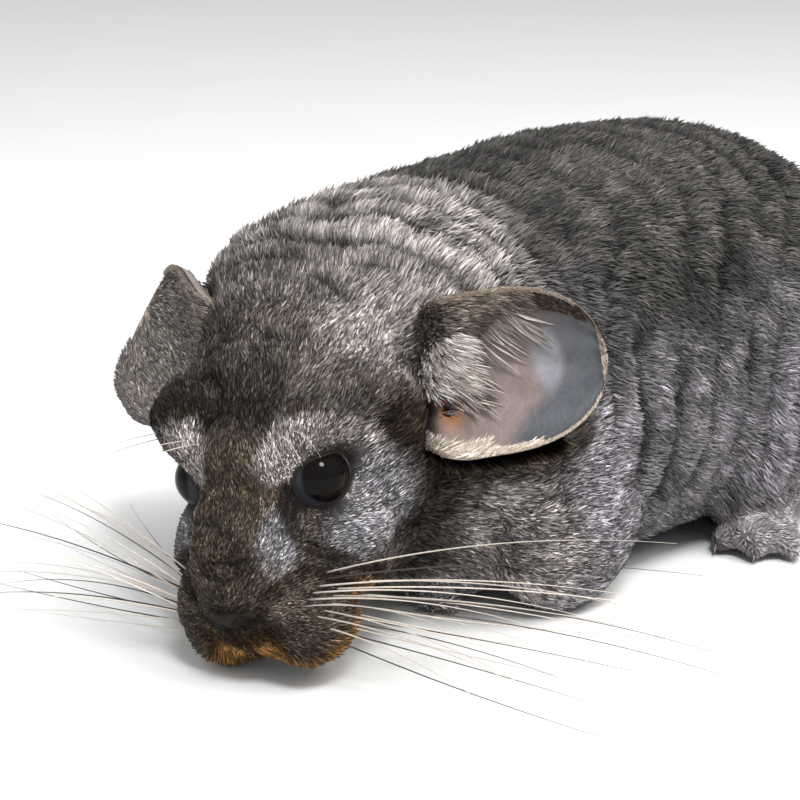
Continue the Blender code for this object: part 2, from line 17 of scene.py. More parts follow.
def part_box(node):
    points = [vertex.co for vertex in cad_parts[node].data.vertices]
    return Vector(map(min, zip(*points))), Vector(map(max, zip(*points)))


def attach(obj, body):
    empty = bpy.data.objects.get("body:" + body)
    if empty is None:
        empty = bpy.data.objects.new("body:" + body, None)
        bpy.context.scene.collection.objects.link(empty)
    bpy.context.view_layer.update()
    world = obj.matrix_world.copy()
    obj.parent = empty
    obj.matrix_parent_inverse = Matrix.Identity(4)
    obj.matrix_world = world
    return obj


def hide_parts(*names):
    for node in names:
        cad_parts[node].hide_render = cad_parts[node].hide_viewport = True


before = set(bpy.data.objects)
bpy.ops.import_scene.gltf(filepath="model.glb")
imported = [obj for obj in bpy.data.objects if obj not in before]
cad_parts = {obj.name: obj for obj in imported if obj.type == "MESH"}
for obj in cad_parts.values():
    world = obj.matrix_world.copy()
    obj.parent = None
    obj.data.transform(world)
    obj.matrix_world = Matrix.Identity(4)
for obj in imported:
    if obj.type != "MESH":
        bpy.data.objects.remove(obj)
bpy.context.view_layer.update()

MM = 0.001
print("nodes in the frame:", len(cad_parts))

# %% [markdown]
# The animal was drawn in millimetres around its own mark before it was centred on the origin.
# The two eye balls tell how far it was moved. Working in the first numbers keeps the sizes the
# same as in the solids, and one function turns finished points into the frame's metres.

# %% From drawing to frame
HEAD_ORIGIN = np.array((2.0, -86.0, 34.0))
HEAD_YAW, HEAD_PITCH, HEAD_ROLL = 18.8, 31.5, 12.5


def box_middle(node):
    low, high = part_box(node)
    return np.array((low + high) / 2) / MM


SHIFT = (box_middle("eye_left") + box_middle("eye_right")) / 2 - HEAD_ORIGIN


def in_frame(points):
    """Drawing millimetres to the frame's metres."""
    return (np.asarray(points, float) + SHIFT) * MM


print("moved by", np.round(SHIFT, 2), "mm")

# %% The head's own directions
def head_directions():
    """Forward, left and up of the turned and lowered head, as rows."""
    yaw, pitch = math.radians(HEAD_YAW), math.radians(HEAD_PITCH)
    forward = Vector((math.sin(yaw) * math.cos(pitch), -math.cos(yaw) * math.cos(pitch),
                      -math.sin(pitch)))
    level_left = Vector((math.cos(yaw), math.sin(yaw), 0))
    left = Matrix.Rotation(math.radians(HEAD_ROLL), 3, forward) @ level_left
    return np.array((forward, left, forward.cross(left)))


HEAD_AXES = head_directions()
HEAD_FRAME = Matrix.Translation(HEAD_ORIGIN) @ Matrix(HEAD_AXES.T.tolist()).to_4x4()


def on_head(points):
    """Drawing coordinates to forward, left, up from between the eyes."""
    return (np.asarray(points, float) - HEAD_ORIGIN) @ HEAD_AXES.T


def off_head(places):
    return HEAD_ORIGIN + np.asarray(places, float) @ HEAD_AXES


def unit(vectors):
    return vectors / np.maximum(np.linalg.norm(vectors, axis=-1, keepdims=True), 1e-9)


print("head looks along", np.round(HEAD_AXES[0], 2))

# %% [markdown]
# The camera stands low in front of the animal's left shoulder, a little above its head, and
# looks along the length of the face. Its place is worked out from the picture: the point
# between the eyes falls at a known pixel, and the distance sets how strongly the head looms
# over the body.

# %% Camera
VIEW_TURN, VIEW_HEIGHT = math.radians(42.0), math.radians(16.0)
VIEW_DISTANCE = 350.0
PICTURE_PIXELS, SENSOR_WIDTH = 800, 36
FOCAL_PIXELS = 1995.0
HEAD_PIXEL = (262.0, 476.0)

to_right = np.array((math.cos(VIEW_TURN), math.sin(VIEW_TURN), 0.0))
level_back = np.array((math.sin(VIEW_TURN), -math.cos(VIEW_TURN), 0.0))
to_top = np.array((0, 0, 1.0)) * math.cos(VIEW_HEIGHT) - level_back * math.sin(VIEW_HEIGHT)
to_eye = level_back * math.cos(VIEW_HEIGHT) + np.array((0, 0, 1.0)) * math.sin(VIEW_HEIGHT)


def camera_place():
    """Where the camera stands, so that the head falls on its pixel."""
    across = (HEAD_PIXEL[0] - PICTURE_PIXELS / 2) * VIEW_DISTANCE / FOCAL_PIXELS
    above = (PICTURE_PIXELS / 2 - HEAD_PIXEL[1]) * VIEW_DISTANCE / FOCAL_PIXELS
    return HEAD_ORIGIN - to_right * across - to_top * above + to_eye * VIEW_DISTANCE


lens = bpy.data.cameras.new("viewpoint")
lens.sensor_width = SENSOR_WIDTH
lens.lens = FOCAL_PIXELS * SENSOR_WIDTH / PICTURE_PIXELS
lens.clip_start = 0.01
lens.dof.use_dof = False
viewpoint = bpy.data.objects.new("viewpoint", lens)
turned = Matrix((to_right, to_top, to_eye)).transposed().to_4x4()
viewpoint.matrix_world = Matrix.Translation(in_frame(camera_place())) @ turned
bpy.context.scene.collection.objects.link(viewpoint)
bpy.context.scene.camera = viewpoint
print("camera height above the floor:", round(viewpoint.location.z, 3), "m")

# %% [markdown]
# Fur needs variation that is smooth over a few millimetres and never repeats. A lattice of
# hashed numbers, blended between its corners, gives such noise for hundreds of thousands of
# points at once, and always gives the same result.

# %% Smooth noise
HASH = (73856093, 19349663, 83492791, 97531, 1274126177)


def noise(points, size, seed=0):
    """Noise from -1 to 1 that changes over about size millimetres; size may differ per axis."""
    scaled = np.asarray(points, float) / np.asarray(size, float)
    cell = np.floor(scaled).astype(np.int64)
    part = scaled - cell
    part = part * part * (3 - 2 * part)
    total = np.zeros(len(scaled))
    for corner in product((0, 1), repeat=3):
        spot = cell + np.array(corner)
        mixed = spot[:, 0] * HASH[0] ^ spot[:, 1] * HASH[1] ^ spot[:, 2] * HASH[2] ^ seed * HASH[3]
        mixed = (mixed ^ (mixed >> 13)) * HASH[4] & 0x7FFFFFFF
        value = (mixed >> 7) % 65536 / 32767.5 - 1
        share = np.prod(np.where(corner, part, 1 - part), axis=1)
        total += value * share
    return total


def ramp(value, start, end):
    """0 before start, 1 after end, smooth between; start may be above end."""
    t = np.clip((np.asarray(value, float) - start) / (end - start), 0, 1)
    return t * t * (3 - 2 * t)


def patch(places, centre, reach, sharp=1.0):
    """1 inside an egg-shaped area and fading to 0 outside it."""
    away = np.linalg.norm((places - np.array(centre)) / np.array(reach), axis=1)
    return ramp(away, 1 + 0.45 / sharp, 1 - 0.45 / sharp)


def both_alike(places):
    """Places on the head with the right side folded over onto the left."""
    return np.stack([places[:, 0], np.abs(places[:, 1]), places[:, 2]], axis=1)


scattered = np.random.default_rng(1).uniform(0, 99, (999, 3))
print("noise spread:", round(float(noise(scattered, 5).std()), 2))

# %% [markdown]
# Materials are written as short sums and products. The class below wraps one output of a node.
# A plain number or another wrapped output can be added to it, multiplied with it or taken from
# it, and each such step adds one Math node.

# %% Shader arithmetic
PAINT = "coat_colour"


class Wire:
    """One output of a node, ready to be used in sums."""

    def __init__(self, recipe, socket):
        self.recipe, self.socket = recipe, socket

    def math(self, operation, *values):
        return self.recipe.node("ShaderNodeMath", {"operation": operation}, dict(enumerate(values)))

    def __add__(self, other): return self.math("ADD", self, other)
    def __radd__(self, other): return self.math("ADD", other, self)
    def __sub__(self, other): return self.math("SUBTRACT", self, other)
    def __rsub__(self, other): return self.math("SUBTRACT", other, self)
    def __mul__(self, other): return self.math("MULTIPLY", self, other)
    def __rmul__(self, other): return self.math("MULTIPLY", other, self)


class Recipe:
    """A material in the making: its nodes, and the shader that they feed."""

    def __init__(self, name, **constants):
        self.material = bpy.data.materials.new(name)
        self.material.use_nodes = True
        self.tree = self.material.node_tree
        self.shader = self.tree.nodes["Principled BSDF"]
        for socket, value in constants.items():
            self.shader.inputs[socket.replace("_", " ")].default_value = value

    def node(self, kind, settings=None, inputs=None, output=0):
        """Any node: settings first, then its sockets' values or wires."""
        made = self.tree.nodes.new(kind)
        for key, value in (settings or {}).items():
            setattr(made, key, value)
        for key, value in (inputs or {}).items():
            if isinstance(value, Wire):
                self.tree.links.new(value.socket, made.inputs[key])
            else:
                made.inputs[key].default_value = value
        return Wire(self, made.outputs[output])

    def mix(self, factor, first, second, blend="MIX"):
        """Two colours in the given shares."""
        return self.node("ShaderNodeMix", {"data_type": "RGBA", "blend_type": blend},
                         {0: factor, 6: first, 7: second}, output=2)

    def feed(self, socket, wire):
        self.tree.links.new(wire.socket, self.shader.inputs[socket])

    def painted(self):
        """The colour that a mesh carries at its points."""
        return self.node("ShaderNodeAttribute", {"attribute_name": PAINT})

    def cloud(self, size, detail=3.0, roughness=0.5):
        """Noise in the frame's own space; size is in millimetres."""
        place = self.node("ShaderNodeTexCoord", output=3)
        return self.node("ShaderNodeTexNoise", {"noise_dimensions": "3D"},
                         {"Vector": place, "Scale": 1 / (size * MM), "Detail": detail,
                          "Roughness": roughness})

    def bump(self, height, distance):
        """Fine relief; distance is in millimetres."""
        self.feed("Normal", self.node("ShaderNodeBump", {}, {
            "Height": height, "Distance": distance * MM, "Strength": 1.0}))


print("a material starts from the shader:", Recipe("trial").shader.name)
bpy.data.materials.remove(bpy.data.materials["trial"])

# %% [markdown]
# Large meshes are made straight from arrays of points and triangles, because adding a million
# triangles one by one would take minutes. Each mesh carries its own colours, and a map named
# OFBake that says where on the skin each of its corners belongs.

# %% Meshes from arrays
MAP_NAME = "OFBake"


def set_points(mesh, points):
    mesh.vertices.foreach_set("co", np.asarray(points, np.float32).ravel())


def array_mesh(name, points, faces, flat_places, colours=None, normals=None):
    """A mesh in the frame's metres from points in drawing millimetres, and its faces."""
    mesh = bpy.data.meshes.new(name)
    faces = np.asarray(faces, np.int32)
    mesh.vertices.add(len(points))
    set_points(mesh, in_frame(points))
    mesh.loops.add(faces.size)
    mesh.loops.foreach_set("vertex_index", faces.ravel())
    mesh.polygons.add(len(faces))
    starts = np.arange(0, faces.size, faces.shape[1], dtype=np.int32)
    mesh.polygons.foreach_set("loop_start", starts)
    mesh.polygons.foreach_set("use_smooth", np.ones(len(faces), bool))
    mesh.update(calc_edges=True)
    if colours is not None:
        paint(mesh, colours)
    layer = mesh.uv_layers.new(name=MAP_NAME)
    layer.data.foreach_set("uv", flat_places[faces.ravel()].astype(np.float32).ravel())
    if normals is not None:
        mesh.normals_split_custom_set_from_vertices(normals.astype(np.float32))
    return mesh


def paint(mesh, colours):
    """Colours for the mesh's points, in an attribute that the materials read."""
    layer = mesh.color_attributes.new(name=PAINT, type="FLOAT_COLOR", domain="POINT")
    full = np.ones((len(colours), 4), np.float32)
    full[:, :3] = colours
    layer.data.foreach_set("color", full.ravel())


def show(name, mesh, material, replaced=()):
    """Put a piece in the scene, riding on the still body."""
    mesh.materials.clear()
    mesh.materials.append(material)
    piece = bpy.data.objects.new(name, mesh)
    bpy.context.scene.collection.objects.link(piece)
    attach(piece, "root")
    if replaced:
        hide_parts(*replaced)
    return piece


SIDES = ((1, "left"), (-1, "right"))
print("a mesh is in metres, drawn in millimetres, on a map named", MAP_NAME)

# %% [markdown]
# One skin runs over the whole body, so that no seam shows between head, neck, legs and tail. It
# is grown from the same masses as the solids: a barrel for the trunk, eggs for skull, cheeks,
# muzzle, shoulders and haunches, then fused by a voxel remesh. The coat will stand on it, so
# the skin is afterwards drawn in by the depth of the coat.

# %% Masses of trunk and head
TRUNK = ((-78, -10, 57, 20, 15), (-68, -11, 69, 11, 23), (-59, -10, 75.5, 5, 29),
         (-50, -7, 78.5, 1, 34), (-40, -3, 80.5, -1, 38), (-20, 0, 83, -2, 39),
         (2, 0, 84.5, -2, 41), (24, 0, 84.5, -2, 42), (44, 0, 82.5, -2, 41.5),
         (62, 0, 74, 0, 39), (76, 0, 60, 4, 33), (86, 0, 44, 9, 23), (92, 0, 33, 13, 12))
SQUARENESS = 2.35
BODY_PAIRS = (((20, -36, 42), (17, 20, 27)), ((26, -30, 19), (13, 19, 20)),
              ((28, 41, 34), (20, 34, 32)), ((33, 27, 21), (12, 18, 19)))
NECK_ROLL = ((-24.5, -53, 46), (21.5, 15.3, 26.3))
HEAD_MIDDLE = (((-20, 0, 0), (20, 23, 18)), ((-7, 0, 5), (16, 13, 8.5)),
               ((4, 0, -5), (20, 12.5, 12)), ((14, 0, -11.5), (13, 11, 13.2)),
               ((-19, 0, -15), (14, 15, 12)), ((9, 0, -19), (12, 7.5, 7.5)),
               ((-4, 0, -16), (14, 12, 9)))
HEAD_PAIRS = (((-12, 12, -10), (17, 13, 14)), ((4.2, 14.7, -12.3), (10.5, 8.2, 8.8)),
              ((16, 8, -15.6), (10, 9, 10.5)), ((-8.3, 14.4, 6.8), (13.5, 9.2, 7.8)),
              ((-13, 18, -0.5), (13, 8.6, 11)), ((-4, 13, -17), (11, 9, 9)))
EYE_CENTRE, EYE_RADIUS, LID_THICKNESS = np.array((0, 11.8, 0)), 5.6, 1.3
EYE_GAZE = np.array((0.42, 0.84, 0.34))
TAIL_LINE = ((0, 70, 26), (0, 86, 19), (3, 104, 12), (10, 126, 10), (21, 148, 10),
             (34, 168, 9.5), (46, 186, 9))
TAIL_RADII = (13, 15, 16.5, 17, 16.5, 14, 8)
TAIL_CORE, TAIL_SKIN = 0.42, 0.85


def smooth_curve(points, steps):
    """Points on a smooth curve through the given rows."""
    rows = np.array(points, float)
    rows = rows.reshape(len(rows), -1)
    padded = np.vstack([2 * rows[0] - rows[1], rows, 2 * rows[-1] - rows[-2]])
    curve = []
    for index in range(1, len(padded) - 2):
        before, start, end, after = padded[index - 1:index + 3]
        for t in np.arange(steps) / steps:
            curve.append(0.5 * (2 * start + (end - before) * t
                                + (2 * before - 5 * start + 4 * end - after) * t * t
                                + (3 * start - before - 3 * end + after) * t ** 3))
    curve.append(rows[-1])
    return np.array(curve)


print("trunk stations after smoothing:", len(smooth_curve(TRUNK, 4)))

# %% Adding eggs and tubes
def turns_of(count):
    """Equal steps round a full turn."""
    return np.arange(count) / count * math.tau


def add_egg(bm, centre, half_sizes, frame_of=Matrix.Identity(4), detail=4):
    shape = Matrix.Translation(Vector(centre)) @ Matrix.Diagonal((*half_sizes, 1))
    bmesh.ops.create_icosphere(bm, subdivisions=detail, radius=1, matrix=frame_of @ shape)


def add_tube(bm, rings):
    """A closed skin over rings of equally many points."""
    loops = [[bm.verts.new(point) for point in ring] for ring in rings]
    count = len(loops[0])
    faces = []
    for near, far in zip(loops, loops[1:]):
        for index in range(count):
            after = (index + 1) % count
            faces.append(bm.faces.new((near[index], near[after], far[after], far[index])))
    faces += [bm.faces.new(list(reversed(loops[0]))), bm.faces.new(loops[-1])]
    bmesh.ops.recalc_face_normals(bm, faces=faces)


def add_trunk(bm):
    rings = []
    turns = turns_of(48)
    across, rise = (np.sign(wave) * np.abs(wave) ** (2 / SQUARENESS)
                    for wave in (np.cos(turns), np.sin(turns)))
    for y, shift, top, bottom, half_width in smooth_curve(TRUNK, 4):
        rings.append(np.stack([shift + across * half_width, np.full(len(turns), y),
                               (top + bottom) / 2 + rise * (top - bottom) / 2], axis=1))
    add_tube(bm, rings)


def tail_stations():
    """Centre, direction, sideways, upward and coat radius along the tail."""
    line = smooth_curve(TAIL_LINE, 8)
    radii = smooth_curve(TAIL_RADII, 8)[:, 0]
    along = unit(np.gradient(line, axis=0))
    across = unit(np.cross((0, 0, 1.0), along))
    return line, along, across, np.cross(along, across), radii


def add_tail_core(bm):
    line, _, across, rise, radii = tail_stations()
    turns = turns_of(14)
    spokes = np.cos(turns)[:, None, None] * across + np.sin(turns)[:, None, None] * rise
    rings = line + spokes * (radii * TAIL_CORE * TAIL_SKIN)[:, None]
    add_tube(bm, list(rings.transpose(1, 0, 2)))


tail_steps = np.linalg.norm(np.diff(tail_stations()[0], axis=0), axis=1)
print("tail length:", round(float(tail_steps.sum())), "mm")

# %% [markdown]
# The feet are small, so their toes are separate eggs that the remesh only just joins. The hind
# foot is a long sole with three toes and a small inner one; the forepaw has four short toes
# that peek out under the chest.

# %% Feet
def foot_place(at, splay, side):
    spot = Matrix.Translation((at[0] * side, at[1], 0))
    return spot @ Matrix.Rotation(math.radians(splay) * side, 4, "Z")


def add_toe(bm, place_of, root, tip, half_width, half_height):
    root, tip = Vector(root), Vector(tip)
    along = (tip - root).normalized()
    across = Vector((0, 0, 1)).cross(along).normalized()
    turned_by = Matrix((across, along, across.cross(along))).transposed().to_4x4()
    spot = place_of @ Matrix.Translation((root + tip) / 2) @ turned_by
    add_egg(bm, (0, 0, 0), (half_width, (tip - root).length / 2, half_height), spot, 3)


HIND_TOES = ((-6.5, -1.5), (0, -4.5), (6.5, -2))
FRONT_TOES = ((-4.2, 1.0), (-1.5, -1.0), (1.5, -1.0), (4.2, 1.0))
HIND_SPREAD, HIND_TIP = 1.25, 2.4
FRONT_SPREAD, FRONT_TIP = 1.2, 1.9


def hind_place(side):
    return foot_place((41, 15), 27, side)


def front_place(side):
    return foot_place((11, -53), 8, side)


def add_feet(bm):
    for side in (1, -1):
        spot = hind_place(side)
        add_egg(bm, (0, 24, 5), (6.5, 23, 5.5), spot)
        add_egg(bm, (0, 8, 4.5), (8, 11, 5), spot)
        for across, reach in HIND_TOES:
            add_toe(bm, spot, (across * 0.7, 10, 4.2), (across * HIND_SPREAD, reach, HIND_TIP),
                    2.9, 3.0)
        add_toe(bm, spot, (-5 * side, 14, 4), (-9.5 * side, 5, 2.6), 2.3, 2.4)
        spot = front_place(side)
        add_egg(bm, (0, 11, 5), (5.2, 9, 5), spot)
        for across, reach in FRONT_TOES:
            add_toe(bm, spot, (across * 0.7, 7, 3.6), (across * FRONT_SPREAD, reach, FRONT_TIP),
                    1.7, 2.0)


print("toes in front:", len(FRONT_TOES), "behind:", len(HIND_TOES) + 1)

# %% Fusing the masses
SKIN_VOXEL, SKIN_ROUNDS = 0.9, 9


def fused(bm, voxel, rounds):
    """The masses as one closed and softened mesh, in drawing millimetres."""
    mesh = bpy.data.meshes.new("masses")
    bm.to_mesh(mesh)
    bm.free()
    holder = bpy.data.objects.new("masses", mesh)
    bpy.context.scene.collection.objects.link(holder)
    grow = holder.modifiers.new("grow", "REMESH")
    grow.mode, grow.voxel_size = "VOXEL", voxel
    soften = holder.modifiers.new("soften", "SMOOTH")
    soften.factor, soften.iterations = 0.5, rounds
    graph = bpy.context.evaluated_depsgraph_get()
    result = bpy.data.meshes.new_from_object(holder.evaluated_get(graph))
    bpy.data.objects.remove(holder, do_unlink=True)
    return result


def mesh_arrays(mesh):
    points = np.empty(len(mesh.vertices) * 3, np.float32)
    mesh.vertices.foreach_get("co", points)
    normals = np.empty(len(mesh.vertices) * 3, np.float32)
    mesh.vertex_normals.foreach_get("vector", normals)
    return points.reshape(-1, 3).astype(float), normals.reshape(-1, 3).astype(float)


masses = bmesh.new()
add_trunk(masses)
add_egg(masses, *NECK_ROLL)
add_tail_core(masses)
add_feet(masses)
for centre, half_sizes in BODY_PAIRS:
    for side in (1, -1):
        add_egg(masses, (centre[0] * side, *centre[1:]), half_sizes)
for centre, half_sizes in HEAD_MIDDLE:
    add_egg(masses, centre, half_sizes, HEAD_FRAME)
for centre, half_sizes in HEAD_PAIRS + ((EYE_CENTRE, (EYE_RADIUS + LID_THICKNESS,) * 3),):
    for side in (1, -1):
        add_egg(masses, (centre[0], centre[1] * side, centre[2]), half_sizes, HEAD_FRAME)
full_skin = fused(masses, SKIN_VOXEL, SKIN_ROUNDS)
full_points, full_normals = mesh_arrays(full_skin)
print("skin points:", len(full_points))

# %% [markdown]
# The coat is under half a millimetre deep on the muzzle, nearly one on the head and over one on
# the body, because the hair is short and lies almost flat. The feet have about half. Around the
# eyes the skin stays at its full height, to carry the lids. Skin and coat together fill the
# solids' outline.

# %% Depth of the coat
def foot_share(points):
    """1 on the four feet, 0 elsewhere."""
    share = np.zeros(len(points))
    for side in (1, -1):
        for spot, middle, reach in ((hind_place(side), (0, 12, 3), (13, 22, 8)),
                                    (front_place(side), (0, 7, 3), (9, 11, 7))):
            centre = np.array(spot @ Vector(middle))
            turn = np.array(spot.to_3x3())
            share = np.maximum(share, patch((points - centre) @ turn, (0, 0, 0), reach))
    return share


def tail_share(points):
    return ramp(points[:, 1], 84, 96) * ramp(points[:, 2], 40, 28)


def eye_distance(places):
    """Distance to the nearer eye's middle, for places on the head."""
    return np.linalg.norm(both_alike(places) - EYE_CENTRE, axis=1)


def coat_depth(points):
    places = on_head(points)
    depth = 0.4 + 0.4 * ramp(places[:, 0], 20, -8) + 0.5 * ramp(places[:, 0], -18, -44)
    depth *= 0.15 + 0.85 * ramp(eye_distance(places), 7.5, 12)
    depth = depth + (0.6 - depth) * foot_share(points)
    return depth + (0.6 - depth) * tail_share(points)


print("depth on crown, muzzle:", np.round(coat_depth(off_head([(-20, 8, 16), (20, 3, 0)])), 2))

# %% [markdown]
# Real skin folds where the face moves: over the brow, from the inner corner of the eye down
# past the cheek, along the top of the whisker pad, and in a cleft under the nose. Each fold is
# a line on the head with its width and depth; near it the skin sinks a little, and later the
# hair there is painted darker as shade. Two more lines mark pale fur over the eye, and dark fur
# with painted shadow under the ear.

# %% Folds of the face
FOLDS = (
    (((-3, 12, 11.5), (-4.8, 15, 11), (-6.5, 18.3, 9), (-8.3, 20.5, 6), (-9.3, 22, 2),
      (-9.5, 23.3, -2)), 1.1, 1.2),
    (((6.2, 9.5, 2.2), (8.5, 9.6, 0.5), (11, 10, -2.2), (11.9, 10.9, -4.7), (11.9, 15.2, -8.2),
      (11.8, 19.3, -11.5), (9.5, 20.5, -15)), 1.1, 1.3),
    (((22.5, 7, -6.5), (20.3, 8.8, -6.8), (16.2, 12, -7.4), (14.1, 15.4, -10.2),
      (12, 17, -13)), 0.9, 0.8),
    (((27, 0, -10), (26.5, 0, -13), (24.5, 0, -18), (20, 0, -22)), 0.8, 1.2),
    (((8, 19, -12), (3, 21, -14), (-3, 22, -18), (-8, 21, -22)), 1.2, 0.9),
)
UNDER_EAR = ((22, -72, 45), (21.8, -68, 40.6), (19, -58, 36), (22.3, -53.5, 34), (27.5, -51, 34),
             (32, -45.7, 34), (34.6, -40, 37))
BROW = ((4.5, 8.4, 6.8), (-0.5, 11.2, 8.4), (-4, 16, 7.4), (-6.5, 20, 3.5))


def line_distance(places, line):
    """Distance from each place to a line through a few points."""
    near = np.full(len(places), 1e9)
    line = np.array(line, float)
    for start, end in zip(line, line[1:]):
        run = end - start
        t = np.clip(((places - start) @ run) / (run @ run), 0, 1)
        near = np.minimum(near, np.linalg.norm(places - start - t[:, None] * run, axis=1))
    return near


def fold_shade(places):
    """1 on the lines of the folds, painted dark as shade, 0 away from them."""
    shade = np.zeros(len(places))
    for line, width, _ in FOLDS:
        shade = np.maximum(shade, ramp(line_distance(places, line), width * 2.3, width * 0.9))
    return shade


def fold_depths(places):
    """How far each fold sinks the skin, with the head's two sides alike."""
    folded = both_alike(places)
    sunk = np.zeros(len(places))
    for line, width, depth in FOLDS:
        sunk += depth * np.exp(-(line_distance(folded, line) / width) ** 2)
    return sunk


print("folds on each side of the face:", len(FOLDS))

# %% [markdown]
# The loose neck and back lie in rolls like a pushed-up sleeve. Behind the head the rolls follow
# the back of the skull, further on they run round the trunk. Between two rolls the coat parts
# in a crease, painted dark as shade. Smaller wrinkles wander over crown and flanks, along the
# lines where a smooth noise passes zero, and are painted darker as shade too.

# %% Rolls, creases and wrinkles
CREASE_DEPTH, WRINKLE_DEPTH = 1.3, 0.8


def creases(points):
    """1 in the dark partings of the coat on neck and back, 0 on the rolls between them."""
    places = on_head(points)
    behind = ramp(places[:, 0], -33, -39)
    body_share = ramp(points[:, 1], -52, -28)
    behind_skull = -places[:, 0] - 102.7
    round_trunk = points[:, 1] - 0.25 * (points[:, 2] - 80)
    run = (1 - body_share) * behind_skull + body_share * round_trunk
    warp = 6.5 * noise(points, 26, 3) + 2.6 * noise(points, 9, 4)
    phase = (run + warp) / (7.4 + 3.4 * body_share)
    roll = 0.5 + 0.5 * np.cos(phase * math.tau)
    broken = ramp(noise(points, 15, 5), -0.75, 0.1)
    low = ramp(points[:, 2], 8, 30)
    return behind * broken * low * roll ** 4


def wrinkles(points):
    """1 along thin wandering lines, 0 between them."""
    stretched = points * (0.55, 1, 1)
    line = np.exp(-(noise(stretched, 5.5, 6) / 0.10) ** 2)
    return line * ramp(noise(points, 11, 7), -0.15, 0.45) * ramp(points[:, 2], 5, 14)


print("share of the skin in creases:", round(float(creases(full_points).mean()), 3),
      "in wrinkles:", round(float(wrinkles(full_points).mean()), 3))

# %% [markdown]
# Round each eye the skin sinks to a shallow bowl that meets the lids. Between the lids it makes
# way for the eye ball: every point that lies inside the opening, seen along the gaze, is
# pushed back behind the ball's surface.

# %% The skin drawn in
EYE_SUNK = 1.2
BOWL = (5.7, 0.055, 0.0042)
RIGHT_PULL = 0.5
LOWEST_FOOT, LOWEST_BELLY = 0.25, 1.45


def eye_middle(side):
    return EYE_CENTRE * (1, side, 1)


def eye_frame(side):
    """Directions round one eye: along the opening, across it, and the gaze."""
    gaze = unit(EYE_GAZE * (1, side, 1))
    along = unit(np.array((1.0, 0, 0)) - gaze * gaze[0])
    return np.array((along, np.cross(gaze, along), gaze))


OPENING = 62.0


def opening_edge(forward, up):
    """How far the lids open from the gaze, in degrees: less under the brow, more in front."""
    around = np.maximum(np.hypot(forward, up), 1e-6)
    under_brow = np.maximum((0.83 * up - 0.55 * forward) / around, 0)
    return (OPENING - 24 * under_brow ** 2 - 12 * np.maximum(-up / around, 0) ** 2
            + 12 * np.maximum(forward / around, 0) ** 2)


def beyond_opening(places, side):
    """Distance from an eye's middle, and degrees beyond the edge of its opening."""
    forward, down, out = ((places - eye_middle(side)) @ eye_frame(side).T).T
    reach = np.sqrt(forward ** 2 + down ** 2 + out ** 2)
    angle = np.degrees(np.arccos(np.clip(out / np.maximum(reach, 1e-6), -1, 1)))
    return reach, angle - opening_edge(forward, -side * down)


def draw_in(points, normals):
    """The coat's depth, the folds and the creases taken off the full skin."""
    places = on_head(points)
    near_head = ramp(places[:, 0], -40, -30)
    sunk = coat_depth(points) + fold_depths(places) * near_head + CREASE_DEPTH * creases(points)
    sunk += WRINKLE_DEPTH * wrinkles(points) * ramp(eye_distance(places), 9, 14)
    moved = points - normals * sunk[:, None]
    for side in (1, -1):
        reach, beyond = beyond_opening(on_head(moved), side)
        centre = off_head(eye_middle(side))
        near = (reach < 20) & (beyond < 70)
        outside = np.maximum(beyond, 0)
        bowl = BOWL[0] + BOWL[1] * outside + BOWL[2] * outside ** 2
        pull = np.maximum(ramp(reach, 16, 10), ramp(beyond, 10, 3) * ramp(reach, 20, 14))
        pull = pull * (1 if side > 0 else RIGHT_PULL)
        sunk_to = reach - np.maximum(reach - bowl, 0) * pull
        inside = ramp(beyond, 4, -4)
        held = (1 - inside) * sunk_to + inside * (EYE_RADIUS - EYE_SUNK)
        moved = np.where(near[:, None], centre + unit(moved - centre) * held[:, None], moved)
    low_share = np.maximum(foot_share(points), tail_share(points))
    lowest = LOWEST_BELLY + (LOWEST_FOOT - LOWEST_BELLY) * low_share
    moved[:, 2] = np.maximum(moved[:, 2], lowest)
    return moved


skin_points = draw_in(full_points, full_normals)
set_points(full_skin, skin_points)
full_skin.update()
skin_points, skin_normals = mesh_arrays(full_skin)
quads = np.empty(len(full_skin.loops), np.int32)
full_skin.loops.foreach_get("vertex_index", quads)
if len(quads) != 4 * len(full_skin.polygons):
    print("the skin has faces that aren't quads")
quads = quads.reshape(-1, 4)
print("skin quads:", len(quads), "lowest point", round(float(skin_points[:, 2].min()), 2))

# %% [markdown]
# The skin needs an unwrap of its own shape, a flat map on which the finished model can be baked.
# Blender's smart projection cuts it into islands that lie nearly flat. Every tuft later takes
# a tiny patch of the map at the place of its root.

# %% The skin's unwrap
def unwrap(mesh):
    """Places on the OFBake map for the corners of each face."""
    holder = bpy.data.objects.new("unwrapping", mesh)
    bpy.context.scene.collection.objects.link(holder)
    bpy.context.view_layer.objects.active = holder
    holder.select_set(True)
    mesh.uv_layers.new(name=MAP_NAME)
    bpy.ops.object.mode_set(mode="EDIT")
    bpy.ops.mesh.select_all(action="SELECT")
    bpy.ops.uv.smart_project(angle_limit=math.radians(66), island_margin=0.002)
    bpy.ops.object.mode_set(mode="OBJECT")
    flat = np.empty(len(mesh.loops) * 2, np.float32)
    mesh.uv_layers[MAP_NAME].data.foreach_get("uv", flat)
    bpy.data.objects.remove(holder, do_unlink=True)
    return flat.reshape(-1, 4, 2)


quad_flat = unwrap(full_skin)
print("unwrap spans", np.round(quad_flat.min((0, 1)), 2), np.round(quad_flat.max((0, 1)), 2))
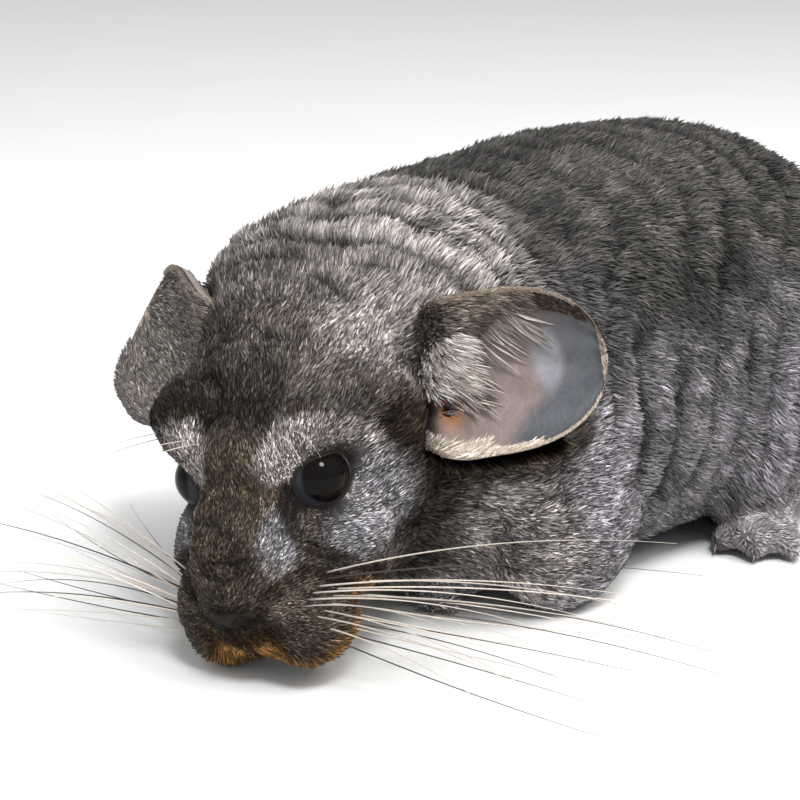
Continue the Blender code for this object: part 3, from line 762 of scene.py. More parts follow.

# %% [markdown]
# ## Markings
# One function gives the colour of skin and coat at any place, so both carry the same markings.
# The animal is grey with a fine pepper of dark and pale hairs: brownish and dark on the bridge
# of the nose, pale over the eye, on the cheek and round the neck, a slate grey back, and a
# paler bluish grey on chest and flanks. Below the nose the short hair is golden brown. Painted
# shade darkens the bridge, the forehead and the right side of the head, and a painted sheen
# lies on the sides of the nose.

# %% Named colours
CROWN_GREY = (0.056, 0.048, 0.042)
CROWN_PALE = (0.175, 0.157, 0.149)
BROW_PALE = (0.225, 0.200, 0.192)
NECK_PALE = (0.235, 0.214, 0.204)
CHEEK_GREY = (0.138, 0.132, 0.140)
BRIDGE_BROWN_AND_SHADE = (0.044, 0.034, 0.024)
FOREHEAD_GREY_AND_SHADE = (0.013, 0.011, 0.009)
MUZZLE_GREY = (0.062, 0.049, 0.038)
SHEEN_GREY = (0.185, 0.180, 0.190)
TEMPLE_BROWN = (0.042, 0.031, 0.021)
VELVET_BROWN = (0.030, 0.016, 0.005)
GOLDEN = (0.175, 0.092, 0.032)
DARK_BROWN = (0.016, 0.011, 0.007)
BACK_GREY = (0.056, 0.053, 0.050)
FLANK_GREY = (0.190, 0.179, 0.192)
FOOT_GREY = (0.245, 0.225, 0.226)
TAIL_GREY = (0.055, 0.051, 0.049)
NEAR_BLACK = (0.010, 0.008, 0.007)


def blend(colours, share, towards):
    return colours + (np.array(towards) - colours) * np.asarray(share)[:, None]


print("flank against back:", round(sum(FLANK_GREY) / sum(BACK_GREY), 1), "times as bright")

# %% Colours of head and body
def layered(ground, count, layers):
    """Colours of a ground with each layer laid over it by its share."""
    colours = np.tile(np.array(ground), (count, 1))
    for share, colour in layers:
        colours = blend(colours, share, colour)
    return colours


def head_colours(places):
    folded = both_alike(places)
    forward, aside, above = folded.T
    forehead = ramp(forward, -16, -4) * ramp(places[:, 1], 11, 4) * ramp(above, 0, 6)
    under_nose = ramp(forward, 17, 21) * ramp(above, -9.5, -11.5) * ramp(aside, 10, 6)
    low_lip = -14.5 - 3.5 * ramp(aside, 4, 10)
    layers = [
        (ramp(forward, -22, -34) * ramp(above, 0, 12) * 0.55, CROWN_PALE),
        (patch(places, (-29, 18, 7), (13, 12, 11), 0.8) * 0.9, CROWN_PALE),
        # Painted shade with the forehead's own dark grey; it reaches over the right side but not
        # the left.
        (forehead * 0.92, FOREHEAD_GREY_AND_SHADE),
        # Painted shade on the right side of the head.
        (patch(places, (-14, -15, 8), (12, 12, 12), 0.7) * 0.6, FOREHEAD_GREY_AND_SHADE),
        (patch(folded, (-12, 24, -5), (6.5, 7, 13), 0.8) * 0.6, TEMPLE_BROWN),
        (ramp(forward, -2, 6), MUZZLE_GREY),
        # Painted shade with the bridge's own dark brown.
        (ramp(forward, 0, 7) * ramp(aside, 9, 5) * ramp(above, -8, -3), BRIDGE_BROWN_AND_SHADE),
        (ramp(line_distance(folded, BROW), 4.8, 2.4) * 0.95, BROW_PALE),
        (patch(folded, (0, 20, -7), (9, 8, 8.5)) * 0.9, CHEEK_GREY),
        (patch(folded, (8, 17, -8), (5, 5, 5), 0.9) * 0.8, CHEEK_GREY),
        # A painted sheen on the sides of the nose.
        (patch(folded, (14.4, 9.0, -1.8), (6, 2.8, 4.5)) * 0.8, SHEEN_GREY),
        (under_nose, VELVET_BROWN),
        (ramp(forward, 12, 17) * ramp(above - low_lip, 1.0, -1.5), GOLDEN),
        (patch(folded, (12.6, 16.8, -17.5), (2.6, 3.5, 5.5)) * 0.85, GOLDEN),
        (patch(folded, (25, 0, -8.4), (4, 7.5, 2.4), 1.2), DARK_BROWN),
        (patch(folded, (-8, 18, -23), (14, 12, 7), 0.7) * 0.5, FOREHEAD_GREY_AND_SHADE),
        (fold_shade(folded) * 0.85, DARK_BROWN)]
    for side, _ in SIDES:
        reach, beyond = beyond_opening(places, side)
        inner_corner = patch(places, (8.2, 9.6 * side, 0.6), (3.6, 1.8, 2.6))
        layers += [(ramp(beyond, 7, 2) * (reach < 7.5) * 0.9, NEAR_BLACK),
                   (inner_corner * 0.85, NEAR_BLACK)]
    return layered(CROWN_GREY, len(places), layers)


def body_colours(points):
    neck = ramp(points[:, 1] + 4 * noise(points, 14, 9), -36, -44)
    sides = ramp(points[:, 2] + 9 * noise(points, 16, 8), 64, 34)
    rump = ramp(points[:, 1], 30, 70) * ramp(points[:, 2], 30, 60)
    return layered(BACK_GREY, len(points), (
        (neck, NECK_PALE), (sides * (1 - neck), FLANK_GREY),
        (patch(points, (13, -60, 14), (12, 12, 18), 0.7) * 0.8, FOREHEAD_GREY_AND_SHADE),
        (rump * 0.3, TAIL_GREY), (foot_share(points), FOOT_GREY),
        (tail_share(points), TAIL_GREY)))


def coat_colours(points):
    """The colour of the coat at each place, before single hairs differ."""
    places = on_head(points)
    from_middle = np.hypot(places[:, 1], places[:, 2] + 4)
    share = ramp(places[:, 0], -44, -35) * ramp(from_middle, 35, 28)
    colours = body_colours(points) * (1 - share[:, None]) + head_colours(places) * share[:, None]
    # Painted shadow with dark fur, under the ear.
    under_ear = ramp(line_distance(points, UNDER_EAR), 6.5, 2.5)
    colours = blend(colours, under_ear * 0.85, DARK_BROWN)
    blotches = 0.26 * noise(points, 10, 13) + 0.20 * (1 - share) * noise(points, 16, 14)
    mottle = np.exp(0.40 * noise(points, 4.2, 11) + 0.46 * noise(points, 1.5, 12) + blotches)
    # Painted shade: the coat is darker in the creases and the wrinkles.
    shade = (1 - 0.80 * creases(points)) * (1 - 0.62 * wrinkles(points))
    return np.clip(colours * (mottle * shade)[:, None], 0.004, 0.9)


print("crown and back:", np.round(coat_colours(off_head([(-20, 8, 16), (-90, 0, 0)])), 2).tolist())

# %% The skin's material
skin_finish = Recipe("underfur_skin", Roughness=0.85, Specular_IOR_Level=0.2)
skin_grain = skin_finish.cloud(1.1, 4)
dim = skin_finish.mix(skin_grain, (0.35, 0.33, 0.32, 1), (0.85, 0.83, 0.82, 1))
skin_finish.feed("Base Color", skin_finish.mix(1.0, skin_finish.painted(), dim, "MULTIPLY"))
skin_finish.bump(skin_grain, 0.4)

FLESH = ("head", "muzzle", "lower_jaw", "neck", "torso", "haunch_left", "haunch_right",
         "foreleg_left", "foreleg_right", "hind_foot_left", "hind_foot_right", "forepaw_left",
         "forepaw_right", "tail_base", "tail_middle", "tail_tip")
UNDERFUR_SHADE = 0.6
set_points(full_skin, in_frame(skin_points))
full_skin.update()
paint(full_skin, coat_colours(skin_points) * UNDERFUR_SHADE)
full_skin.shade_smooth()
show("skin", full_skin, skin_finish.material, FLESH)
print("skin material nodes:", len(skin_finish.tree.nodes))

# %% [markdown]
# ## The coat
# Each tuft is the simplest closed solid there is: four corners, at the root, left and right of
# the middle, and at the tip. The middle is raised, so the tuft leaves the skin at one angle and
# bends down along the lie of the coat. Hundreds of thousands are worked out together in arrays.

# %% Which way the hair lies
NOSE_AT = np.array((26.0, 0, -7.0))


def lie_of_coat(points, normals):
    """Along the skin, away from the nose on the head and towards the tail on the body."""
    places = on_head(points)
    from_nose = unit(places - NOSE_AT)
    from_eye = places - np.where(places[:, 1:2] < 0, eye_middle(-1), eye_middle(1))
    near_eye = np.exp(-(np.linalg.norm(from_eye, axis=1) / 9.5) ** 2)
    head_way = (from_nose + unit(from_eye) * near_eye[:, None] * 1.2) @ HEAD_AXES
    body_way = np.stack([np.zeros(len(points)), np.ones(len(points)),
                         -0.55 * ramp(np.abs(points[:, 0]), 12, 40)], axis=1)
    share = ramp(places[:, 0], -48, -34)[:, None]
    way = head_way * share + body_way * (1 - share)
    swirl = np.stack([noise(points, 7, s) for s in (21, 22, 23)], axis=1)
    way = unit(way) + 0.38 * swirl
    way -= normals * np.sum(way * normals, axis=1, keepdims=True)
    return unit(way)


print("lie on the crown:", np.round(lie_of_coat(off_head([(-20, 0, 18)]), HEAD_AXES[2:3])[0], 2))

# %% Sowing roots
def sow(density, seed):
    """Roots spread over the skin, about density(middles) of them on each square millimetre."""
    rng = np.random.default_rng(seed)
    a, b, c, d = (skin_points[quads[:, k]] for k in range(4))
    area = 0.5 * np.linalg.norm(np.cross(c - a, d - b), axis=1)
    wanted = area * density((a + b + c + d) / 4)
    count = np.floor(wanted + rng.random(len(wanted))).astype(int)
    face = np.repeat(np.arange(len(quads)), count)
    s, t = rng.random((2, len(face)))
    share = np.stack([(1 - s) * (1 - t), s * (1 - t), s * t, (1 - s) * t], axis=1)
    spots, upright, flat = (np.einsum("nk,nkd->nd", share, values) for values in (
        skin_points[quads[face]], skin_normals[quads[face]], quad_flat[face]))
    return spots, unit(upright), flat


TRIANGLES = np.array(((0, 1, 2), (3, 2, 1), (0, 3, 1), (0, 2, 3)))
MAP_PATCH = 0.0015
PATCH_OFFSETS = np.array(((0, -1), (-1, 0), (1, 0), (0, 1))) * MAP_PATCH
ROOT_SUNK, BEND_AT, FLATTEST = 0.25, 0.45, -12


def tufts(spots, upright, lie, length, width, lift, bend):
    """Corners of the tufts: root, left, right, tip; and soft normals for them."""
    across = np.cross(upright, lie)
    first, second = (lie * np.cos(rise)[:, None] + upright * np.sin(rise)[:, None]
                     for rise in np.radians((lift, np.maximum(lift - bend, FLATTEST))))
    root = spots - upright * ROOT_SUNK
    middle = spots + first * (length * BEND_AT)[:, None]
    tip = middle + second * (length * (1 - BEND_AT))[:, None]
    half = across * (width / 2)[:, None]
    corners = np.stack([root, middle - half, middle + half, tip], axis=1)
    facing = upright * 0.8 + np.cross(first, across) * -0.2
    normals = np.stack([facing, facing - across * 0.5, facing + across * 0.5,
                        facing + lie * 0.3], axis=1)
    return corners, unit(normals)


def tuft_mesh(name, shape, normals, colours, flat):
    """One mesh from the corners of many tufts, each on its own patch of the map."""
    start = np.arange(len(shape))[:, None, None] * 4
    places_flat = flat[:, None, :] + PATCH_OFFSETS
    return array_mesh(name, shape.reshape(-1, 3), (TRIANGLES + start).reshape(-1, 3),
                      places_flat.reshape(-1, 2), colours.reshape(-1, 3), normals.reshape(-1, 3))


print("corners of a tuft:", len(PATCH_OFFSETS))

# %% The coat's material
def hair_finish(name, roughness):
    """Hair that takes its colour from the tufts, a little varied over the body."""
    finish = Recipe(name, Roughness=roughness, Specular_IOR_Level=0.08)
    shade = finish.cloud(0.9, 2) * 0.5 + 0.75
    grey = finish.node("ShaderNodeCombineColor", {}, {0: shade, 1: shade, 2: shade})
    finish.feed("Base Color", finish.mix(1.0, finish.painted(), grey, "MULTIPLY"))
    return finish.material


COAT_FINISH = hair_finish("soft_coat", 0.7)
print("coat material:", COAT_FINISH.name)

# %% Length, lift and width of the hair
def hair_sizes(points, rng):
    """Length, width, lift and bend of the tuft at each root."""
    places = on_head(points)
    count = len(points)
    length = 1.15 + 0.95 * ramp(places[:, 0], 12, -16) + 1.2 * ramp(places[:, 0], -24, -50)
    length *= 0.5 + 0.5 * ramp(eye_distance(places), 6.5, 10)
    fringe = ramp(places[:, 0], 11, 17) * ramp(places[:, 2], -14, -18)
    length += 1.5 * fringe
    width = 0.235 + 0.065 * ramp(places[:, 0], 8, -16) + 0.09 * ramp(places[:, 0], -26, -56)
    feet = foot_share(points)
    length = length + (1.4 - length) * feet
    width = width + (0.30 - width) * feet
    lift = 20 + 7 * noise(points, 2.4, 31) + 10 * fringe
    shorter = 1 - 0.35 * np.maximum(creases(points), wrinkles(points))
    length *= rng.uniform(0.7, 1.25, count) * shorter
    width *= rng.uniform(0.75, 1.25, count)
    return length, width, lift + rng.normal(0, 6, count), rng.uniform(14, 26, count)


PEPPER = 0.38
DARK_BELOW, PALE_ABOVE, TIP_SHADES = 0.40, 0.72, (0.24, 2.1, 1.2)


def tuft_colours(points, rng):
    """Colours of a tuft's root, middle and tip: peppered with dark and pale hairs."""
    strength = 0.5 + 0.6 * ramp(on_head(points)[:, 0], -46, -20)
    base = coat_colours(points) * np.exp(strength * rng.normal(0, PEPPER, len(points)))[:, None]
    ticked = rng.random(len(points))
    tip = np.select([ticked < DARK_BELOW, ticked > PALE_ABOVE], TIP_SHADES[:2], TIP_SHADES[2])
    tip = tip ** strength
    colours = np.repeat(base[:, None, :], 4, axis=1)
    colours[:, 0] *= 0.35
    colours[:, 1:3] *= (0.5 + 0.4 * tip)[:, None, None]
    colours[:, 3] *= tip[:, None]
    return np.clip(colours, 0.003, 0.95)


print("hair on the muzzle is about 1.2 mm long, on the back 3.3 mm")

# %% Growing a piece of the coat
FLOOR_LEVEL = 0.12
STRAY = 0.16


def grow_coat(name, spots, upright, flat, seed):
    """One piece of the coat from its roots."""
    rng = np.random.default_rng(seed)
    length, width, lift, bend = hair_sizes(spots, rng)
    lie = lie_of_coat(spots, upright)
    lie = unit(lie + rng.normal(0, STRAY, (len(spots), 1)) * np.cross(upright, lie))
    shape, normals = tufts(spots, upright, lie, length, width, lift, bend)
    shape[:, :, 2] = np.maximum(shape[:, :, 2], FLOOR_LEVEL)
    mesh = tuft_mesh(name, shape, normals, tuft_colours(spots, rng), flat)
    print(name, "tufts:", len(spots), "triangles:", len(spots) * 4)
    return show(name, mesh, COAT_FINISH)


# %% [markdown]
# The density is highest on the face, where the hair is shortest and finest, and lower on the
# back, where each tuft is longer and wider. No hair grows on the eyes, the lids, the nose pad
# or the soles.

# %% Sowing the coat
def bare_share(points):
    """1 where no coat grows."""
    places = on_head(points)
    bare = patch(places, (25.5, 0, -8.2), (3.0, 4.6, 1.5), 4)
    for side in (1, -1):
        reach, beyond = beyond_opening(places, side)
        bare = np.maximum(bare, (beyond < 4) * (reach < 9))
    return np.maximum(bare, ramp(points[:, 2], 1.0, 0.3))


def coat_density(points):
    places = on_head(points)
    face = ramp(places[:, 0], -36, -24)
    muzzle = ramp(places[:, 0], -4, 8)
    density = 6.4 + 3.6 * face + 4.5 * muzzle
    density *= 1 - 0.25 * ramp(points[:, 2], 40, 20) * (1 - face)
    density *= 1 - 0.70 * ramp(points[:, 2], 9, 4) * (1 - foot_share(points)) * (1 - face)
    density = density + (9.0 - density) * foot_share(points)
    return density * (1 - bare_share(points)) * (1 - 0.8 * tail_share(points))


spots, upright, flat = sow(coat_density, 5)
print("tufts in the coat:", len(spots), "triangles:", len(spots) * 4)

# %% Dividing the coat into pieces
def coat_region(points):
    """A number for each part of the body that its coat piece covers."""
    places = on_head(points)
    on_body = 3 + np.digitize(points[:, 1], (-42, -14, 14, 44)) + 5 * (points[:, 2] < 44)
    return np.select([places[:, 0] > 3, places[:, 0] > -16, places[:, 0] > -37], [0, 1, 2],
                     default=on_body)


COAT_NAMES = ("coat_muzzle", "coat_face", "coat_crown", "coat_neck", "coat_shoulders",
              "coat_back", "coat_loins", "coat_rump", "coat_throat", "coat_chest",
              "coat_flanks", "coat_haunches", "coat_hindquarters")
region = coat_region(spots)
for number, name in enumerate(COAT_NAMES):
    chosen = region == number
    grow_coat(name, spots[chosen], upright[chosen], flat[chosen], 100 + number)

# %% [markdown]
# ## Eyes
# The eye ball is nearly black, with a painted dark brown glow of light low in the iris and a
# painted pale bluish reflection in an arc where it meets the lower lid. It is a ball with its
# pole on the gaze, so that its rings of colour are simple bands. A low roughness keeps it wet;
# its gloss is weak, so the black stays deep.

# %% Eye balls
EYE_BLACK, EYE_RIM = (0.003, 0.0025, 0.0025), (0.005, 0.005, 0.006)
EYE_GLOW, EYE_REFLECTION = (0.009, 0.0045, 0.0015), (0.22, 0.255, 0.30)
REFLECTION_WAY = np.array((-0.55, 0.25, -0.60))


def band_faces(rows, around):
    """Triangles between neighbouring rings of equally many points."""
    faces = []
    for row in range(rows - 1):
        for spoke in range(around):
            a, b = row * around + spoke, row * around + (spoke + 1) % around
            faces += [(a, b + around, b), (a, a + around, b + around)]
    return faces


def cap_faces(rows, around):
    """Fans of triangles that close the first and the last ring."""
    last = (rows - 1) * around
    return [face for k in range(1, around - 1)
            for face in ((0, k, k + 1), (last, last + k + 1, last + k))]


def eye_mesh(name, side, rings=40, spokes=64):
    turns = turns_of(spokes)
    angles = np.linspace(0.02, math.pi - 0.02, rings)
    bulge = 1 + 0.06 * np.exp(-(angles / 0.75) ** 2)
    local = np.stack([np.outer(np.sin(angles) * bulge, np.cos(turns)),
                      np.outer(np.sin(angles) * bulge, np.sin(turns)),
                      np.repeat((np.cos(angles) * bulge)[:, None], spokes, axis=1)], axis=2)
    from_middle = (local.reshape(-1, 3) * EYE_RADIUS) @ eye_frame(side)
    points = off_head(eye_middle(side) + from_middle)
    angle, turn = np.repeat(angles, spokes), np.tile(turns, rings)
    degrees = np.degrees(angle)
    # Painted light: a brown glow low in the iris, and a pale reflection in an arc by the lower lid,
    # faint all round.
    glow = ramp(degrees, 14, 24) * ramp(degrees, 48, 34)
    reflection_share = ramp(from_middle @ (REFLECTION_WAY * (1, side, 1)), 0.2, 2.6)
    colours = layered(EYE_BLACK, len(points), (
        (glow * (0.15 + 0.85 * ramp(from_middle[:, 2], 1.5, -2.5)), EYE_GLOW),
        (ramp(degrees, 46, 51), EYE_RIM),
        (ramp(degrees, 54, 57) * (0.12 + 0.88 * reflection_share), EYE_REFLECTION)))
    disc = (0.45 * angle / math.pi)[:, None]
    flat_places = 0.5 + disc * np.stack([np.cos(turn), np.sin(turn)], axis=1)
    faces = band_faces(rings, spokes) + cap_faces(rings, spokes)
    return array_mesh(name, points, faces, flat_places, colours)


eye_finish = Recipe("wet_eye", Roughness=0.04, Specular_IOR_Level=0.08)
fibres = eye_finish.cloud(0.35, 2) * 0.5
eye_finish.feed("Base Color", eye_finish.mix(
    fibres, eye_finish.painted(), (0.003, 0.002, 0.002, 1)))
for side, label in SIDES:
    show("eye_ball_" + label, eye_mesh("eye_ball_" + label, side), eye_finish.material,
         ["eye_" + label])
print("eye ball radius:", EYE_RADIUS, "mm")

# %% [markdown]
# The lids are a soft ring of dark bare skin. Its section starts on the ball, turns over a
# rounded wet edge and runs out under the coat. The ring is drawn out at the inner corner.

# %% Lids
LID_SECTION = ((-4, 5.5), (-2, 5.66), (0, 5.84), (2.5, 6.0), (5, 6.08), (8, 6.02), (13, 5.7),
               (20, 5.2))
LID_WALL, LID_BLACK = 0.5, (0.014, 0.011, 0.010)


def lid_mesh(name, side, spokes=96):
    section = smooth_curve(LID_SECTION, 3)
    turns = turns_of(spokes)
    edge = opening_edge(np.cos(turns), -side * np.sin(turns))
    angle = np.radians(section[:, :1] + edge)
    rough = 0.04 * np.sin(turns * 23 + section[:, :1] * 0.4) * ramp(section[:, :1], 0, 5)
    reach = section[:, 1:] + rough
    local = np.stack([np.sin(angle) * np.cos(turns), np.sin(angle) * np.sin(turns),
                      np.cos(angle) * np.ones_like(turns)], axis=2) * reach[:, :, None]
    inner = local * ((reach - LID_WALL) / reach)[:, :, None]
    both = np.concatenate([local, inner[::-1]])
    rows = len(both)
    points = off_head(eye_middle(side) + both.reshape(-1, 3) @ eye_frame(side))
    spoke, row = np.arange(spokes), np.arange(rows)[:, None]
    after, below = (spoke + 1) % spokes, (row + 1) % rows
    faces = np.stack([row * spokes + spoke, below * spokes + spoke, below * spokes + after,
                      row * spokes + after], axis=2).reshape(-1, 4)
    if side < 0:
        faces = faces[:, ::-1]
    flat_places = 0.05 + 0.9 * np.stack([np.tile(turns / math.tau, rows),
                                         np.repeat(np.arange(rows) / rows, spokes)], axis=1)
    return array_mesh(name, points, faces, flat_places)


lid_finish = Recipe("lid_skin", Roughness=0.6, Specular_IOR_Level=0.08)
lid_grain = lid_finish.cloud(0.5, 3)
lid_finish.feed("Base Color", lid_finish.mix(
    lid_grain * 0.4, (*LID_BLACK, 1), (0.016, 0.013, 0.012, 1)))
lid_finish.bump(lid_grain, 0.12)
for side, label in SIDES:
    show("lids_" + label, lid_mesh("lids_" + label, side), lid_finish.material)
print("lid section points:", len(LID_SECTION))

# %% [markdown]
# ## Nose
# The nose pad is a small dark cushion with two comma-shaped nostrils and a groove between
# them. It is fused from eggs at a fine voxel, the nostrils are pressed in as dents, and
# painted shade darkens them.

# %% Nose pad
NOSE_DENTS = ((((26.6, 1.8, -9.0), (26.0, 3.0, -8.2), (25.0, 4.4, -8.4)), 0.60, 1.5),
              (((28, 0, -7), (27, 0, -12)), 0.35, 0.35))


def nose_mesh():
    bm = bmesh.new()
    add_egg(bm, (24.0, 0, -8.2), (2.4, 4.8, 1.6), HEAD_FRAME)
    add_egg(bm, (24.0, 0, -9.4), (2.1, 1.4, 1.6), HEAD_FRAME)
    for side in (1, -1):
        add_egg(bm, (23.4, 3.8 * side, -8.4), (2.3, 1.9, 1.5), HEAD_FRAME)
        add_egg(bm, (24.2, 1.6 * side, -7.6), (2.1, 1.5, 1.3), HEAD_FRAME)
    mesh = fused(bm, 0.22, 6)
    points, normals = mesh_arrays(mesh)
    folded = both_alike(on_head(points))
    dent = sum(depth * np.exp(-(line_distance(folded, line) / width) ** 2)
               for line, width, depth in NOSE_DENTS)
    points -= normals * dent[:, None]
    # Painted shade: the deep dents of the nostrils are darker.
    dark = np.exp(-(dent / 1.1 - 1) ** 2 * 3) * (dent > 0.5)
    set_points(mesh, in_frame(points))
    mesh.update()
    paint(mesh, layered((0.010, 0.0065, 0.004), len(points), [(dark, (0.003, 0.002, 0.002))]))
    mesh.shade_smooth()
    return mesh


nose_finish = Recipe("nose_skin", Roughness=0.62, Specular_IOR_Level=0.15)
pebbles = nose_finish.node("ShaderNodeTexVoronoi", {"feature": "DISTANCE_TO_EDGE"}, {
    "Vector": nose_finish.node("ShaderNodeTexCoord", output=3), "Scale": 2400.0})
nose_finish.feed("Base Color", nose_finish.mix(
    nose_finish.cloud(0.8) * 0.5, nose_finish.painted(), (0.016, 0.010, 0.006, 1)))
nose_finish.bump(pebbles, 0.10)
show("nose_pad", nose_mesh(), nose_finish.material, ["nose"])
print("nose pad is 9 mm wide")

# %% [markdown]
# ## Ears
# Each ear is a thin cup, built as two grids a wall apart and joined round the rim. The front
# grid carries ridges and the dip of the canal. The colour is worked out from the place on the
# grid: furry and brown along the folded upper rim, pink in the middle, a painted highlight
# beyond it, blue-grey and bare at the outer end, orange-brown in the canal.

# %% Cup of the ear
EAR_ROOT = (-20, 17, -0.5)
EAR_LENGTH, EAR_WIDTH, EAR_DEPTH, EAR_WALL = 40, 28.5, 8, 1.3
EAR_ALONG = {1: (-0.339, 0.927, -0.16), -1: (-0.66, -0.752, -0.01)}
EAR_FACING = {1: (0.678, 0.359, 0.642), -1: (0.4, -0.361, 0.842)}


def ear_frame(side):
    along = unit(np.array(EAR_ALONG[side]))
    facing = np.array(EAR_FACING[side])
    facing = unit(facing - along * (facing @ along))
    return np.array((along, np.cross(facing, along), facing))


def ear_place(side, u, v, out):
    """Drawing points of the ear: u across from -1 to 1, v along from 0 to 1, out of the cup."""
    spread = 0.45 + 0.55 * np.sin(np.minimum(1.0, v * 2.6) * math.pi / 2)
    rounding = np.maximum(1 - np.maximum(0, (v - 0.5) / 0.5) ** 2.6, 0) ** (1 / 2.1)
    half = np.maximum(EAR_WIDTH / 2 * spread * rounding, 0.6)
    hollow = EAR_DEPTH * (u * half / (EAR_WIDTH / 2)) ** 2 * (1 - 0.35 * v) + 2.0 * v * v
    local = np.stack([v * EAR_LENGTH, u * half, hollow + out], axis=-1)
    return off_head(np.array(EAR_ROOT) * (1, side, 1) + local @ ear_frame(side))


def fold_edge(v):
    """Where the furry fold begins, from the lower rim at -1 to the upper rim at 1."""
    return 0.12 + 0.6 * ramp(v, 0.25, 0.6)


def ear_relief(top, v):
    """Height of fold, rim and ridges over the inner face, less the dip of the canal."""
    canal = np.exp(-((top + 0.36) / 0.24) ** 2 - ((v - 0.285) / 0.07) ** 2)
    ridges = 0.20 * np.sin(top * 13 + v * 6) * ramp(v, 0.35, 0.6) * ramp(np.abs(top), 0.9, 0.6)
    rim = 0.35 * ramp(np.abs(top), 0.90, 0.98) + 0.35 * ramp(v, 0.95, 0.99)
    fold = 1.6 * ramp(top - fold_edge(v), -0.05, 0.12) * ramp(v, 0.8, 0.3) * ramp(v, 0.2, 0.35)
    return fold + rim + ridges - 1.6 * canal


def ear_dive(top, v):
    """How far the root of the ear sinks into the head."""
    start = 0.24 + 0.10 * ramp(top, -0.2, 0.9)
    return -8.0 * ramp(v, start, start - 0.18)


def ear_surface(side, top, v, inner):
    """Drawing points on the inner or outer face of the ear."""
    out = (ear_relief(top, v) + EAR_WALL / 2 if inner else -EAR_WALL / 2) + ear_dive(top, v)
    return ear_place(side, top * side, v, out)


EAR_PINK, EAR_SLATE, EAR_HIGHLIGHT = (0.165, 0.125, 0.115), (0.046, 0.054, 0.063), (0.20, 0.21, 0.235)
EAR_BACK, FOLD_NEAR, FOLD_FAR = (0.10, 0.088, 0.084), (0.10, 0.083, 0.070), (0.024, 0.015, 0.009)
CANAL, EAR_ROOT_DARK, RIM = (0.22, 0.085, 0.024), (0.045, 0.036, 0.030), (0.23, 0.185, 0.15)
RIGHT_CUP = (0.125, 0.110, 0.098)


def ear_colours(side, top, v, inner):
    top, v = top.ravel(), v.ravel()
    count, none = len(top), np.zeros(len(top))
    grid = np.stack([top * 14, v * 40, none + side * 9.0], axis=1)
    if not inner:
        return np.array(EAR_BACK) * (1 + 0.15 * noise(grid, 2.2, 52))[:, None]
    edge = v + 0.05 * noise(grid, 5, 51) + 0.2 * ramp(top, -0.3, -0.9)
    # A painted highlight: a pale patch between the pink middle and the blue-grey end.
    pale = patch(np.stack([top, v, none], axis=1), (0.05, 0.745, 0), (0.38, 0.06, 1))
    soft = 0.05 + 0.20 * ramp(v, 0.5, 0.8)
    fold = ramp(top - fold_edge(v) + 0.04 * noise(grid, 3, 54), -soft, soft)
    brown = layered(FOLD_NEAR, count, [(ramp(v, 0.5, 0.8), FOLD_FAR)])
    canal = np.exp(-((top + 0.36) / 0.22) ** 2 - ((v - 0.285) / 0.055) ** 2)
    rim = np.maximum(ramp(np.abs(top), 0.95, 0.99), ramp(v, 0.975, 1.0))
    skin = layered(EAR_PINK, count, ((ramp(edge, 0.66, 0.84), EAR_SLATE),
                                     (np.clip(pale * 1.3, 0, 1) * 0.75, EAR_HIGHLIGHT)))
    skin = skin * (1 - fold[:, None]) + brown * fold[:, None]
    for share, colour in ((np.clip(canal * 1.5, 0, 1), CANAL),
                          (ramp(v, 0.25, 0.18), EAR_ROOT_DARK),
                          (0.85 * ramp(v, 0.1, 0.3) * (side < 0), RIGHT_CUP), (rim * 0.8, RIM)):
        skin = blend(skin, share, colour)
    mottle = np.exp(0.22 * noise(grid, 2.4, 52) + 0.16 * noise(grid, 0.8, 53))
    return np.clip(skin * mottle[:, None], 0.003, 0.95)


print("ear length:", EAR_LENGTH, "mm")

# %% Ear meshes
EAR_FINISH = Recipe("ear_skin", Roughness=0.5, Specular_IOR_Level=0.35)
veins = EAR_FINISH.cloud(2.6, 5, 0.6) * 0.22
EAR_FINISH.feed("Base Color", EAR_FINISH.mix(veins, EAR_FINISH.painted(), (0.13, 0.09, 0.085, 1)))
EAR_FINISH.bump(EAR_FINISH.cloud(0.6, 3), 0.12)


def ear_map(side, top, v, inner):
    """Places on the OFBake map: the two faces of the ear lie side by side."""
    across = 0.05 + 0.42 * (top * side + 1) / 2 + (0 if inner else 0.48)
    return np.stack([across, 0.05 + 0.9 * v], axis=-1).reshape(-1, 2)


def ear_mesh(name, side, rows=60, columns=48):
    v = 1 - (1 - np.linspace(0, 1, rows + 1)) ** 1.8
    u = np.sin(np.linspace(-1, 1, columns + 1) * math.pi / 2)
    v, u = np.meshgrid(v, u, indexing="ij")
    top = u * side
    points, colours, flat = (np.concatenate([make(side, top, v, inner) for inner in (True, False)])
                             for make in (ear_surface, ear_colours, ear_map))
    wide = columns + 1
    block = (rows + 1) * wide
    faces = []
    for row in range(rows):
        for column in range(columns):
            a = row * wide + column
            quad = (a, a + 1, a + wide + 1, a + wide)
            faces.append(quad)
            faces.append(tuple(block + k for k in quad[::-1]))
    rim = [k for k in range(columns)] + [r * wide + columns for r in range(rows)]
    rim += [rows * wide + k for k in range(columns, 0, -1)] + [r * wide for r in range(rows, 0, -1)]
    faces += [(i, i + block, j + block, j) for i, j in zip(rim, rim[1:] + rim[:1])]
    mesh = array_mesh(name, points.reshape(-1, 3), faces, flat, colours)
    bm = bmesh.new()
    bm.from_mesh(mesh)
    bmesh.ops.recalc_face_normals(bm, faces=bm.faces[:])
    bm.to_mesh(mesh)
    bm.free()
    return mesh


for side, label in SIDES:
    show("ear_cup_" + label, ear_mesh("ear_cup_" + label, side), EAR_FINISH.material,
         ["ear_" + label])
print("ear cups:", len(SIDES), "material nodes:", len(EAR_FINISH.tree.nodes))

